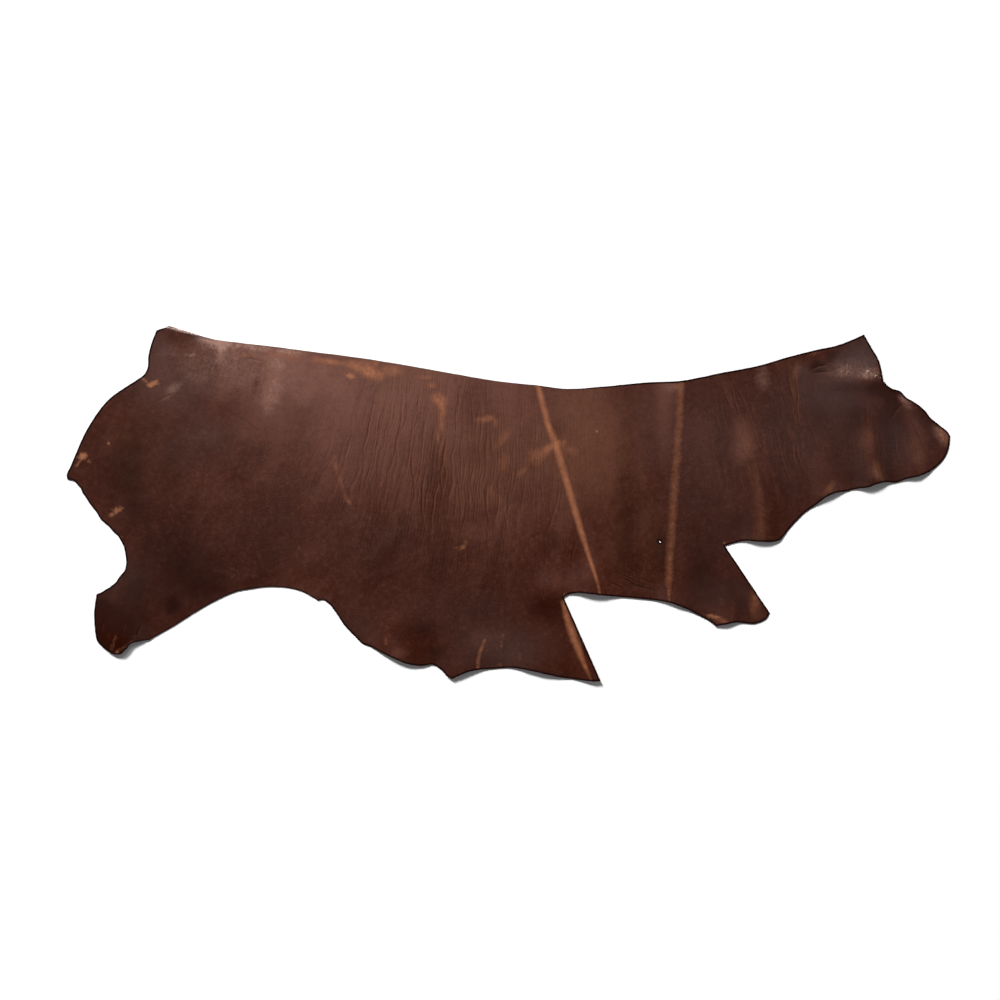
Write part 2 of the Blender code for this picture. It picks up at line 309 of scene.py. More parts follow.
# Cloudy tan patches where the wax was rubbed.
RUBS = [Blob(*row) for row in (
    (-520, 423, 64, 17, 0.55, -8),
    (-470, 418, 44, 20, 0.5, -12),
    (-412, 392, 44, 26, 0.78, -20),
    (-394, 424, 30, 16, 0.5),
    (-346, 400, 62, 26, 0.6, -8),
    (-560, 430, 70, 18, 0.6, -8),
    (-440, 408, 84, 40, 0.5, -12),
    (-655, 440, 44, 26, 0.4),
    (-700, 448, 46, 16, 0.38, -8),
    (500, 352, 30, 16, 0.3),
    (-253, 379, 42, 11, 0.4, -4),
    (-230, 353, 16, 14, 0.6),
    (-207, 312, 48, 32, 0.85, -12),
    (-199, 282, 50, 24, 0.82, 94),
    (-202, 236, 44, 16, 0.55, 98),
    (-212, 200, 44, 11, 0.3, 98),
    (-80, 250, 36, 16, 0.5, -4),
    (-56, 257, 24, 18, 0.6),
    (-38, 243, 14, 26, 0.4),
    (-14, 196, 54, 22, 0.36, 52),
    (-15, 120, 60, 30, 0.22, 70),
    (164, 182, 26, 18, 0.5, 30),
    (188, 160, 60, 30, 0.25, -10),
    (-367, -412, 34, 9, 0.3, 90),
    (1303, 206, 48, 24, 0.42, -58),
    (960, 44, 40, 17, 0.38, 58),
    (1104, 92, 50, 20, 0.3, 112),
    (915, 450, 24, 10, 0.4, 15),
    (738, -296, 62, 26, 0.42, 84),
    (640, -350, 40, 14, 0.45, -15),
    (-1128, -416, 22, 9, 0.4, 30),
    (-1120, -398, 16, 12, 0.12),
    (-1198, -398, 20, 10, 0.12, 70),
    (-137, -130, 16, 11, 0.55, 30),
    (-517, 112, 24, 9, 0.35, 86),
    (-478, 4, 20, 10, 0.4, -60),
    (-777, 118, 34, 9, 0.14, 90),
    (43, 97, 54, 16, 0.25, 45),
    (34, -460, 34, 10, 0.2, 90),
    (-1060, -70, 26, 30, 0.12),
)]

# Small scuffs, worn through the dye and ragged at their edges.
SCUFFS = [Blob(*row) for row in (
    (-1093, 370, 24, 9, 0.8, -38),
    (-1066, 361, 28, 14, 1.0, 20),
    (-1074, 350, 14, 10, 0.65),
    (-1277, 142, 23, 15, 1.05, 15),
    (-1292, 120, 22, 8, 0.6, 55),
    (-1258, 126, 8, 10, 0.7),
    (-1198, 178, 10, 13, 0.85),
    (-1172, -20, 24, 18, 0.8, 25),
    (-1190, -34, 15, 10, 0.7),
    (-1166, -100, 14, 9, 0.7),
    (-829, -218, 9, 8, 0.5),
    (-472, 382, 26, 12, 0.95, -12),
    (-452, 402, 14, 10, 0.7),
    (-790, 443, 24, 8, 0.5, -6),
    (-705, 367, 10, 9, 0.85),
    (-634, 442, 10, 11, 0.6),
    (265, 217, 6, 7, 0.9),
    (614, -338, 36, 10, 0.85, -8),
    (648, -352, 14, 8, 0.6),
    (742, -328, 30, 7, 0.3, 82),
    (647, -119, 6, 6, 0.9),
    (167, -272, 6, 10, 0.5),
    (-1173, -444, 15, 8, 0.7),
    (-1130, -418, 15, 6, 0.7, 30),
)]

# A pale haze: partly wax come up through the grain, partly painted sheen and highlights where the ridge
# behind the tail and the neck's folds face the lamps.
BLOOM_AND_SHEEN = [Blob(*row) for row in (
    (-985, 521, 62, 9, 1.4, -17),
    (-885, 484, 72, 28, 1.05, -12),
    (-835, 482, 60, 20, 0.8, -8),
    (-750, 468, 90, 14, 0.7, -7),
    (-655, 456, 70, 16, 0.9, -8),
    (-862, 444, 26, 50, 0.3),
    (-822, 444, 14, 50, 0.25, 4),
    (-690, 430, 34, 60, 0.35),
    (-800, 400, 330, 130, 0.2, -8),
    (-950, 440, 130, 100, 0.08),
    (-951, 446, 22, 9, 0.5),
    (-1006, 344, 62, 26, 0.3, 42),
    (-708, 320, 44, 90, 0.28, -17),
    (498, 350, 40, 22, 0.3),
    (1300, 210, 60, 30, 0.4, -58),
    (965, 42, 40, 24, 0.12, 58),
    (1100, 92, 50, 30, 0.12, 112),
    (-420, 330, 330, 120, 0.06, -6),
    (1006, 396, 26, 44, 0.42, 90),
    (1076, 388, 54, 26, 0.58, 8),
    (1030, 400, 120, 56, 0.2),
    (1190, 308, 40, 18, 0.5, -50),
    (762, 376, 26, 60, 0.22, 5),
    (868, 404, 20, 40, 0.15),
)]

# Painted glints: pale specks of highlight where the crinkled grain of the neck and the ridge behind the tail
# catch the light.
PAINTED_GLINTS = [Blob(*row) for row in (
    (1077, 396, 12, 7, 1.3, 50),
    (1071, 382, 11, 7, 1.1, -30),
    (1099, 385, 10, 6, 1.2, 20),
    (1116, 381, 10, 6, 1.2),
    (1090, 376, 12, 6, 0.9, 30),
    (1104, 392, 8, 5, 0.9),
    (1012, 409, 18, 8, 0.6),
    (998, 378, 18, 8, 0.5, 40),
    (1050, 378, 16, 6, 0.55, 20),
    (-1012, 526, 28, 6, 1.1, -15),
    (-982, 521, 34, 6, 1.2, -16),
    (-950, 511, 34, 6, 1.05, -18),
    (-922, 500, 24, 5, 0.7, -18),
)]

# Warmer, more orange ground where the wax lies thin.
WARM = [Blob(*row) for row in (
    (240, 150, 260, 220, 0.75, 80),
    (200, 300, 160, 70, 0.3),
    (-10, 130, 240, 230, 0.35, 90),
    (-330, 390, 340, 80, 0.4, -8),
    (-200, 110, 260, 280, 0.3),
    (-706, 427, 40, 34, 0.5),
    (703, 205, 90, 34, 0.5, 110),
    (715, 172, 90, 50, 0.35, 110),
    (740, 92, 90, 30, 0.45, 100),
    (1075, 190, 120, 30, 0.4, 97),
    (756, -64, 90, 36, 0.45, 95),
    (858, 335, 150, 18, 0.55, 98),
    (858, 388, 40, 14, 0.8, 95),
    (1108, 94, 50, 24, 0.5, 105),
    (1228, 150, 80, 40, 0.4, 104),
    (420, -100, 220, 160, 0.2, 90),
    (745, -280, 90, 30, 0.4, 90),
    (-1080, 160, 150, 260, 0.2),
)]

# A bluish grey cast: partly a film of wax, partly a painted sheen.
SMOKY_SHEEN = [Blob(*row) for row in (
    (980, 340, 190, 120, 0.55),
    (886, 385, 30, 70, 0.5),
    (1060, 440, 130, 90, 1.0, 20),
    (900, 220, 400, 330, 0.5),
    (1190, 190, 180, 180, 0.5),
    (560, 200, 240, 320, 0.34),
    (400, 240, 120, 200, 0.22),
    (640, -60, 300, 300, 0.2),
    (690, -320, 160, 120, 0.2),
    (560, -280, 220, 100, 0.25),
    (220, -220, 90, 60, 0.2),
    (-20, -440, 260, 120, 0.5),
    (-140, -330, 330, 120, 0.15),
    (-1190, -340, 110, 110, 0.1),
    (-440, -370, 110, 90, 0.2),
    (-1010, 350, 180, 130, 0.42, -10),
    (-1040, 470, 70, 90, 0.4),
    (-930, 190, 170, 130, 0.25),
    (-1140, -230, 120, 130, 0.25),
)]

# How deep the dye is, with painted light and shade: below 0 darker, above 0 lighter. Besides the dye's own
# clouds, rows paint the light's falloff from the backbone and the light and shade on folds and creases.
DYE_AND_SHADING = [Blob(*row) for row in (
    # the whole side, lighter along the back and darker along the belly: partly the dye, partly the light's
    # painted falloff
    (-300, 410, 900, 380, 0.5, -6),
    (-150, 200, 900, 400, 0.28, -4),
    (-300, -470, 1000, 460, -0.3),
    # the hind shank and the hock
    (-1200, -390, 220, 200, -1.4),
    (-1230, -338, 68, 78, -1.25),
    (-1123, -246, 80, 108, -0.57),
    (-1126, -110, 50, 60, 0.2),
    (-990, -180, 170, 260, -0.8),
    (-1011, -309, 60, 60, -0.68),
    # the butt
    (-1126, 40, 130, 330, -0.75),
    (-1130, 130, 70, 180, -0.22),
    (-1240, 110, 100, 220, -0.3),
    (-1018, 123, 86, 130, -0.55),
    (-1011, 322, 76, 74, 0.25),
    # above the groin
    (-830, -200, 240, 200, -0.4),
    (-880, -265, 170, 80, -0.3, -20),
    (-790, -245, 70, 40, -0.15),
    (-730, -60, 140, 130, -0.28),
    (-690, -165, 90, 70, -0.2),
    (-898, -85, 90, 70, 0.15),
    (-610, -250, 120, 60, 0.22),
    # the back, from the tail on
    # painted shade on the far side of the ridge behind the tail
    (-950, 502, 66, 7, -0.8, -15),
    (-1000, 470, 60, 40, 0.1),
    (-900, 470, 60, 30, 0.15),
    (-900, 350, 170, 50, 0.12, -8),
    (-800, 480, 140, 70, 0.25, -10),
    (-784, 415, 60, 50, -0.15),
    # painted shade on one side of the crease behind the tail, and painted light two rows on, on its other
    # side
    (-752, 372, 70, 14, -0.55, 74),
    (-735, 248, 140, 112, 0.28),
    (-712, 350, 120, 34, 0.28, 74),
    (-690, 410, 270, 150, 0.42, -8),
    (-556, 405, 60, 50, 0.12),
    (-540, 250, 160, 260, 0.22),
    # the wrinkled middle
    (-330, 350, 80, 50, -0.14),
    (-330, 230, 120, 200, 0.14),
    (-420, 110, 200, 96, 0.22, 15),
    (-370, -130, 130, 150, -0.38),
    (-328, -92, 58, 96, -0.36),
    (-214, 66, 56, 178, -0.47),
    (-214, -195, 70, 100, -0.32),
    (-110, -85, 80, 60, 0.26),
    (-95, 280, 90, 170, -0.3),
    (-100, 142, 54, 70, -0.29),
    (20, 60, 260, 200, 0.1),
    (90, 80, 90, 50, 0.12),
    (127, -118, 48, 58, -0.54),
    (145, 218, 60, 60, -0.26),
    (240, 190, 200, 260, 0.3),
    (244, -180, 44, 110, 0.24),
    # the belly
    (-442, -316, 60, 50, 0.15),
    (-350, -350, 140, 150, 0.32),
    (-328, -448, 60, 40, 0.5),
    (-328, -382, 40, 40, -0.14),
    (-262, -380, 130, 60, -0.6),
    (-216, -446, 60, 50, -0.55),
    (-100, -310, 90, 50, -0.22),
    (-74, -407, 102, 82, 0.49),
    (20, -385, 140, 50, 0.13),
    # painted shade beside the fold behind the flank cut
    (122, -310, 100, 60, -0.75),
    (130, -240, 120, 50, 0.2),
    (245, -443, 32, 68, -0.52, 60),
    # from the flank to the fore shank
    (356, 250, 60, 200, -0.12),
    (355, 130, 50, 150, -0.14),
    (355, -14, 56, 138, -0.53),
    (355, -144, 72, 150, -0.72),
    (440, -190, 130, 90, -0.15, -30),
    (466, 250, 46, 190, 0.4),
    (470, 370, 66, 150, 0.5),
    (469, -134, 57, 104, -0.67),
    (560, 230, 80, 100, 0.12),
    (583, 350, 50, 40, -0.25),
    (600, -120, 320, 300, -0.4),
    (573, -212, 74, 112, -0.58),
    (583, -300, 50, 50, -0.14),
    (650, -275, 130, 90, -0.3),
    (670, -325, 50, 12, 0.5, 90),
    (697, -260, 80, 70, -0.35),
    (697, -316, 56, 46, -0.55),
    # the neck, partly the painted light and shade on the sides of its folds
    (669, 310, 110, 22, 0.2, 112),
    (708, 195, 92, 46, 0.75, 110),
    (700, 155, 56, 56, 0.5),
    (698, -55, 76, 70, -0.42),
    (740, 92, 90, 34, 0.3, 100),
    (752, -74, 80, 34, 0.5, 95),
    (753, 26, 110, 27, 0.51, 95),
    (766, 375, 44, 16, 0.25, 95),
    (800, 270, 36, 70, -0.25),
    (820, 60, 150, 160, -0.45),
    (862, 385, 50, 12, 0.45, 95),
    (925, 264, 70, 92, -0.58),
    (926, 410, 48, 36, -1.55, 8),
    (975, 438, 44, 38, -1.1),
    (1000, 180, 44, 90, -0.2),
    # the head end: painted light and shade on the sides of the throat's folds, and painted shade below the
    # fold across the neck
    (1040, 267, 62, 90, -0.77),
    (1040, 80, 50, 40, -0.4),
    (1081, 190, 128, 35, 0.68, 97),
    (1090, 250, 170, 180, -0.35),
    (1096, 342, 50, 30, -0.8),
    (1100, 90, 150, 110, -0.55),
    (1147, 340, 92, 49, -1.15, -18),
    (1150, 240, 60, 120, -1.2),
    (1189, 302, 46, 26, 0.7, -40),
    (1224, 214, 98, 46, 0.38, 105),
    (1228, 140, 64, 44, 0.5, 100),
    (1249, 262, 90, 36, -0.8, -42),
)]

# Where the wax has dried and shines less.
DRY = [Blob(*row) for row in (
    (120, -310, 110, 80, 0.8),
    (-1180, -380, 120, 110, 0.5),
    (-945, 500, 80, 14, 0.8, -15),
)]

# How wrinkled the grain is: most across the middle, and a little at the neck.
WRINKLED = [Blob(*row) for row in (
    (-230, 140, 500, 420, 0.8),
    (-420, 120, 230, 330, 0.35),
    (120, 100, 420, 360, 0.35),
    (-60, 0, 240, 260, 0.3),
    (760, 190, 260, 330, 0.85),
    (1120, 180, 220, 190, 0.6),
    (-260, 310, 380, 150, 0.35),
    (-100, -190, 420, 160, 0.25),
    (420, -200, 220, 160, 0.3, -20),
    (-640, 150, 260, 300, 0.3),
)]

# What the grain's material reads at each point: these patches, and values worked out besides.
PATCHES = {
    "scuff": SCUFFS, "rub": RUBS, "bloom_and_sheen": BLOOM_AND_SHEEN, "glint": PAINTED_GLINTS, "smoky_sheen": SMOKY_SHEEN, "warm": WARM,
    "dye": DYE_AND_SHADING, "wrinkled": WRINKLED,
}
WORKED_OUT = ("crease", "bank", "pull_up", "edge", "dull", "across")

# A wave's inner slope is dull: most at its middle, and out to both sides.
DULL_AT = 0.5  # of the way in
DULL_REACH = 0.8  # of that way, to both sides
DULL_ALONG = 1.2  # of the wave's own run along the edge

# ---------------------------------------------------------------- how fine the sheet is

CREASED_PITCH = 2.1  # between columns of points where the wrinkles are
PLAIN_PITCH = 8.5  # and elsewhere
PITCH_EASE = 160.0  # over which the one turns into the other
PITCH_SAMPLES = 4000  # at which the running count of columns is taken
ROW_PITCH = 6.2
FLESH_PITCH = 16.0
FLESH_ROW_PITCH = 13.92  # which makes its triangles nearly even
EDGE_RING = 3.4  # a ring of points this far inside the cut edge
EDGE_CLEAR = 5.2  # and no point of the grid nearer than this
RING_CLEAR = 0.8  # nor a point of the ring nearer than this share of it, in a narrow corner
EDGE_BEVEL = 0.4  # how far the grain turns down at the cut edge
SHOULDER = 0.7  # the share of the thickness at which it starts to
SHARP_ANGLE = 35  # the cut edge is sharp and nothing else is
CREASE_STEP = 6.0  # between points along a crease outside the finely meshed part
CREASE_OFFSETS = (-2, -1, 0, 1, 2)  # and across it, in half widths
RIM_DEPTH = 30.0  # farther in than this, the distance from the edge no longer counts
RIM_FADE = 6.0  # how much less of the rim is dark along the backbone
RIM_FADE_DEPTH = 20.0  # as far in as this
RIM_FADED_TO_X = -100.0  # from the tail to here
RIM_FADE_RUN = 500.0  # and ever less over this
GROIN_FADE = 2.2  # and how much less at the groin, where it lies flat
BLOCK = 3000  # points worked out at a time where each is set against the whole edge
INSIDE_ONLY = 1  # the triangulation's mode that keeps what is inside the edge
SAME_POINT = 1e-5  # points nearer than this are one

# ---------------------------------------------------------------- the shape's functions


def smooth_stretch(points, step):
    """Points no more than step apart on a cubic curve through the given ones, without the last.

    Each span is a Hermite cubic, and its slope at a point is that of the parabola through the
    point and its two neighbours.
    """
    knots = np.array(points, float)
    reach = np.append(0, np.cumsum(np.hypot(*np.diff(knots, axis=0).T)))
    slopes = np.gradient(knots, reach, axis=0)
    at = np.linspace(0, reach[-1], ceil(reach[-1] / step), endpoint=False)
    span = np.searchsorted(reach, at, side="right") - 1
    chord = np.diff(reach)[span, None]
    t = (at - reach[span])[:, None] / chord
    return (
        knots[span] * (1 + 2 * t) * (1 - t) ** 2
        + knots[span + 1] * t**2 * (3 - 2 * t)
        + slopes[span] * chord * t * (1 - t) ** 2
        - slopes[span + 1] * chord * t**2 * (1 - t)
    )


def cloud(x, y, cell, seed):
    """Soft random hills between -1 and 1: random numbers on a lattice, cell apart, joined by
    the quintic 6t^5 - 15t^4 + 10t^3 both ways."""
    size = 512
    lattice = np.random.default_rng(seed).uniform(-1, 1, (size, size))
    u, v = x / cell + size / 2, y / cell + size / 2
    i, j = np.floor(u).astype(int), np.floor(v).astype(int)
    u, v = u - i, v - j
    u, v = (t**3 * (t * (6 * t - 15) + 10) for t in (u, v))
    low = lattice[i % size, j % size] * (1 - u) + lattice[(i + 1) % size, j % size] * u
    high = lattice[i % size, (j + 1) % size] * (1 - u) + lattice[(i + 1) % size, (j + 1) % size] * u
    return low * (1 - v) + high * v


def hills(rows, x, y):
    """The sum of the rows' clouds, each times its height."""
    return sum(row.height * cloud(x, y, row.cell, row.seed) for row in rows)


def cut_edge():
    """The hide's outline, counter-clockwise, straying from its curve as far as its stretch does."""
    loops = [smooth_stretch(points, EDGE_STEP) for points in CUT_EDGE.values()]
    stray = [
        np.full(len(loop), RAGGED if name in RAGGED_STRETCHES else TRIMMED)
        for name, loop in zip(CUT_EDGE, loops)
    ]
    edge = np.concatenate(loops)
    edge -= (edge.min(axis=0) + edge.max(axis=0)) / 2
    away = np.concatenate(stray) * hills(EDGE_STRAY, *edge.T)
    edge = edge + outward(edge[::-1])[::-1] * away[:, None]
    return edge[::-1]


def outward(loop):
    """At each point of a counter-clockwise loop, the unit direction away from the hide."""
    run = np.roll(loop, -1, axis=0) - np.roll(loop, 1, axis=0)
    run /= np.hypot(*run.T)[:, None]
    return np.stack([run[:, 1], -run[:, 0]], axis=1)


def hole_edge(grow=0.0):
    """The slit's edge, clockwise: an ellipse turned by HOLE_TURN."""
    turn = radians(HOLE_TURN)
    around = -np.arange(HOLE_POINTS) * 2 * pi / HOLE_POINTS
    u = (HOLE_LENGTH / 2 + grow) * np.cos(around)
    v = (HOLE_WIDTH / 2 + grow) * np.sin(around)
    return np.array(HOLE_AT) + np.stack([u * cos(turn) - v * sin(turn), u * sin(turn) + v * cos(turn)], 1)


def bell(t):
    """1 at t = 0, falling as a squared cosine to 0 at t = 1 and beyond."""
    return np.cos(np.clip(np.abs(t), 0, 1) * pi / 2) ** 2


def beside_wave(wave, x, y):
    """How far each point is inwards of the wave's middle, and how far from it along the edge."""
    turn = radians(wave.toward)
    inward = (x - wave.x) * cos(turn) + (y - wave.y) * sin(turn)
    along = (x - wave.x) * sin(turn) - (y - wave.y) * cos(turn)
    return inward, along


def wave_height(wave, x, y):
    """A bell along the edge, times a bell that runs out inwards."""
    inward, along = beside_wave(wave, x, y)
    fade = bell(inward.clip(0) / wave.inward)
    past = bell(np.clip(-inward - OUTWARD_HOLD, 0, None) / (OUTWARD_END - OUTWARD_HOLD))
    return wave.height * bell(along / wave.along) * fade * past


def dull_slopes(x, y):
    """1 where a wave is steepest on its inner side, falling to 0 around as two bells."""
    total = np.zeros_like(x)
    for wave in WAVES:
        inward, along = beside_wave(wave, x, y)
        across = bell((inward / wave.inward - DULL_AT) / DULL_REACH)
        total += bell(along / wave.along / DULL_ALONG) * across
    return total


def heading(row):
    """The unit direction from the row's start to its end, and how far apart they are."""
    run = np.array([row.x2 - row.x1, row.y2 - row.y1], float)
    length = np.hypot(*run)
    return run / length, length


def beside_line(row, x, y):
    """How far each point is along the row's straight line, and how far to its left."""
    (east, north), _ = heading(row)
    along = (x - row.x1) * east + (y - row.y1) * north
    across = (y - row.y1) * east - (x - row.x1) * north
    return along, across


def fold_height(fold, x, y):
    """A bell across the fold's line, times a bell from the line's middle to its two ends."""
    along, across = beside_line(fold, x, y)
    _, length = heading(fold)
    width = np.where(across > 0, fold.left, fold.right)
    return fold.height * bell(across / width) * bell(2 * along / length - 1)


def ridge_height(x, y):
    """A steep rise from the backbone edge to the ridge's top and a long fall behind it."""
    back = np.array(CUT_EDGE["backbone"], float)
    inside = np.interp(x, back[:, 0], back[:, 1]) - y
    rise = np.clip(inside / RIDGE_CREST, 0, 1)
    fall = bell((inside - RIDGE_CREST) / (RIDGE_WIDTH - RIDGE_CREST))
    end = bell((x - RIDGE_FULL_TO_X).clip(0) / (RIDGE_END_X - RIDGE_FULL_TO_X))
    start = np.clip((x - RIDGE_START_X) / RIDGE_RUN_UP, 0, 1)
    return RIDGE_HEIGHT * np.where(inside < RIDGE_CREST, rise, fall) * end * start


def lift(x, y):
    """How far the flesh side is off the floor: waves, folds and ridge, and the sheet's own roll."""
    waves = sum(wave_height(wave, x, y) for wave in WAVES)
    folds = sum(fold_height(fold, x, y) for fold in FOLDS)
    roll = ROLL_HEIGHT * np.clip(hills(ROLL, x, y), 0, None)
    return waves + folds + ridge_height(x, y) + roll


def across_wrinkles(x, y):
    """The distance across the wrinkles: x, less the lean of the wrinkle times y."""
    return x - np.interp(x, WRINKLE_LEAN_X, WRINKLE_LEANS) * y


def wrinkles(x, y):
    """The fat wrinkles' depth, and how far each point is off a trough's middle in half widths.

    Lines lie WRINKLE_PITCH apart across a direction that leans and meanders with two fields of
    soft hills. The strength of a line is another such field, of its number and of y."""
    wander = WANDER * cloud(x / WANDER_CELL[0], y / WANDER_CELL[1], 1, 32)
    across = across_wrinkles(x, y) + hills(MEANDER, x, y) + wander
    number = np.round(across / WRINKLE_PITCH)
    off = (across - number * WRINKLE_PITCH) / WRINKLE_WIDTH
    mean, change = WRINKLE_SHARE
    strength = np.clip(mean + change * cloud(number * WRINKLE_ROW, y / WRINKLE_RUN, 1, 33), 0, 1)
    return WRINKLE_DEPTH * strength * np.clip(blobs(WRINKLED, x, y), 0, 1), off


def creases(x, y):
    """The creases' depth and offset, as for wrinkles. A crease swings and wiggles about its
    line and runs out at both ends. Where two meet, the deeper one counts."""
    depth = np.zeros_like(x)
    off = np.zeros_like(x)
    for number, row in enumerate(CREASES):
        along, left = beside_line(row, x, y)
        _, length = heading(row)
        at = np.clip(along / length, 0, 1)
        across = left - crease_swing(number, row, at, length)
        near = np.abs(across) < CREASE_REACH * CREASE_WIDTH
        here = row.depth * np.sin(pi * at) ** CREASE_RUN_OUT * near
        deeper = trough(here, across / CREASE_WIDTH) > trough(depth, off)
        depth[deeper] = here[deeper]
        off[deeper] = across[deeper] / CREASE_WIDTH * (1 if row.y2 < row.y1 else -1)
    return depth, off


def trough(depth, off):
    """A gaussian across the line."""
    return depth * np.exp(-(off**2))


def bank(depth, off):
    """The trough's slope on the side of the muzzle, which faces the light and which the grain's
    material paints as a highlight: 1 at most for each millimetre of depth."""
    return depth * np.clip(off, 0, None) * np.exp(0.5 - off**2) * 2**0.5


def blobs(rows, x, y):
    """The sum of the rows' patches, each a bell from its middle to its rim: an oval that soft
    hills make uneven."""
    total = np.zeros_like(x)
    stray = hills(BLOB_HILLS, x, y)
    for row in rows:
        turn = radians(row.turn)
        u = ((x - row.x) * cos(turn) + (y - row.y) * sin(turn)) / row.along
        v = ((y - row.y) * cos(turn) - (x - row.x) * sin(turn)) / row.across
        ragged = min(BLOB_RAGGED, BLOB_STRAY / row.across)
        total += row.amount * bell(np.hypot(u, v) * (1 + ragged * stray))
    return total


def pull_up(x, y):
    """A tan line's strength on its middle, falling straight to 0 at half its width from it,
    and on below 0 to the same depth, so that the value keeps its slope through the rim."""
    value = np.full_like(x, -1.0)
    for line in PULL_UP_LINES:
        points = np.array(line.points, float)
        reach = np.append(0, np.cumsum(np.hypot(*np.diff(points, axis=0).T)))
        for start, end, before, after in zip(points[:-1], points[1:], reach[:-1], reach[1:]):
            run = end - start
            t = ((x - start[0]) * run[0] + (y - start[1]) * run[1]) / (run @ run)
            t = np.clip(t, 0, 1)
            off = np.hypot(x - start[0] - t * run[0], y - start[1] - t * run[1])
            share = (before + t * (after - before)) / reach[-1]
            half = (line.start_width + share * (line.end_width - line.start_width)) / 2
            strength = line.start_strength + share * (line.end_strength - line.start_strength)
            value = np.maximum(value, np.where(off < 2 * half, strength * (1 - off / half), -1))
    return value


def to_edge(x, y, loop):
    """How far each point is from the nearest point of the loop."""
    blocks = np.array_split(np.arange(len(x)), max(1, len(x) // BLOCK))
    return np.concatenate(
        [np.hypot(x[b, None] - loop[:, 0], y[b, None] - loop[:, 1]).min(axis=1) for b in blocks]
    )


def rim_distance(x, y, loop):
    """How far each point is from the cut edge, and RIM_FADE more at the backbone, so that less of
    the rim is dark there, from RIM_FADED_TO_X back. At the groin it is GROIN_FADE more."""
    back = np.array(CUT_EDGE["backbone"], float)
    at_back = (x > back[0, 0] - RIM_FADE_DEPTH) & (x < back[-1, 0])
    at_back &= np.interp(x, *back.T) - y < RIM_FADE_DEPTH
    faded = 1 - np.clip((x - RIM_FADED_TO_X) / RIM_FADE_RUN, 0, 1)
    groin = smooth_stretch(CUT_EDGE["groin"], EDGE_STEP)
    at_groin = bell(to_edge(x, y, groin) / (2 * RIM_FADE_DEPTH))
    rim = np.minimum(to_edge(x, y, loop), RIM_DEPTH)
    return rim + RIM_FADE * at_back * faded + GROIN_FADE * at_groin


def inside_loop(x, y, loop):
    """Whether each point is inside: a line from it to +X crosses the loop an odd number of times."""
    x1, y1 = loop.T
    x2, y2 = np.roll(loop, -1, axis=0).T
    found = np.zeros(len(x), bool)
    for b in np.array_split(np.arange(len(x)), max(1, len(x) // BLOCK)):
        spans = (y1 > y[b, None]) != (y2 > y[b, None])
        crossing = x1 + (y[b, None] - y1) * (x2 - x1) / np.where(y2 == y1, 1, y2 - y1)
        found[b] = (spans & (crossing > x[b, None])).sum(axis=1) % 2 == 1
    return found


# ---------------------------------------------------------------- the sheet's mesh


def column_places(low, high):
    """Columns whose spacing eases from CREASED_PITCH amid the wrinkles to PLAIN_PITCH: places at
    which the running count, the sum of 1 / spacing, passes whole numbers."""
    fine = np.linspace(low, high, PITCH_SAMPLES)
    off = np.maximum(WRINKLE_X[0] - fine, fine - WRINKLE_X[1]).clip(0, PITCH_EASE) / PITCH_EASE
    spacing = CREASED_PITCH + (PLAIN_PITCH - CREASED_PITCH) * off
    count = np.cumsum((fine[1] - fine[0]) / spacing)
    return np.interp(np.arange(1, count[-1]), count, fine)


def fill_points(loop, row_pitch, columns_at):
    """Rows of points inside the loop, every other row half a column along. columns_at gives
    the columns of the row at a height."""
    rows = np.arange(loop[:, 1].min() + row_pitch, loop[:, 1].max(), row_pitch)
    places = [columns_at(row) for row in rows]
    between = [np.append((row[1:] + row[:-1]) / 2, row[-1]) for row in places]
    places[1::2] = between[1::2]
    x = np.concatenate(places)
    y = np.repeat(rows, [len(row) for row in places])
    kept = inside_loop(x, y, loop)
    x, y = x[kept], y[kept]
    clear = (to_edge(x, y, loop) > EDGE_CLEAR) & (to_edge(x, y, hole_edge()) > HOLE_WIDTH / 2)
    clear &= ~inside_loop(x, y, hole_edge()[::-1])
    return np.stack([x[clear], y[clear]], axis=1)


def triangulated(edge, hole, inner):
    """Points and triangles between the outer loop and the slit, through the points inside."""
    loops = [(i, (i + 1) % len(edge)) for i in range(len(edge))]
    loops += [(len(edge) + i, len(edge) + (i + 1) % len(hole)) for i in range(len(hole))]
    flat = np.concatenate([edge, hole, inner])
    flat = [Vector(point) for point in flat.tolist()]
    points, _, faces, *_ = delaunay_2d_cdt(flat, loops, [], INSIDE_ONLY, SAME_POINT)
    points = np.array([tuple(p) for p in points])
    faces = np.array(faces)
    middle = points[faces].mean(axis=1)
    faces = faces[~inside_loop(*middle.T, hole[::-1])]
    a, b, c = points[faces].transpose(1, 0, 2)
    turned = np.cross(b - a, c - a) < 0
    faces[turned] = faces[turned][:, ::-1]
    return points, faces


def crease_swing(number, row, t, length):
    """How far a crease is off its straight line at t: its bends and its wiggle."""
    at = t * length / CREASE_WIGGLE_RUN
    wiggle = CREASE_WIGGLE * cloud(at, np.full_like(at, CREASE_WIGGLE_ROW * number), 1, 41)
    return row.sway * np.sin(pi * row.bends * t) + wiggle


def finely_meshed(row):
    """Whether the whole crease lies where the grid is fine enough to show it."""
    in_columns = WRINKLE_X[0] < min(row.x1, row.x2) and max(row.x1, row.x2) < WRINKLE_X[1]
    return in_columns and WRINKLE_Y[0] < min(row.y1, row.y2) and max(row.y1, row.y2) < WRINKLE_Y[1]


def crease_points(edge):
    """Points along and across the creases that lie outside the finely meshed part."""
    found = []
    for number, row in enumerate(CREASES):
        if finely_meshed(row):
            continue
        (east, north), length = heading(row)
        t = np.linspace(0, 1, ceil(length / CREASE_STEP))
        swing = crease_swing(number, row, t, length)
        for offset in CREASE_OFFSETS:
            left = swing + offset * CREASE_WIDTH
            x = row.x1 + east * t * length - north * left
            y = row.y1 + north * t * length + east * left
            found.append(np.stack([x, y], axis=1))
    found = np.concatenate(found)
    x, y = found.T
    return found[inside_loop(x, y, edge) & (to_edge(x, y, edge) > EDGE_CLEAR)]


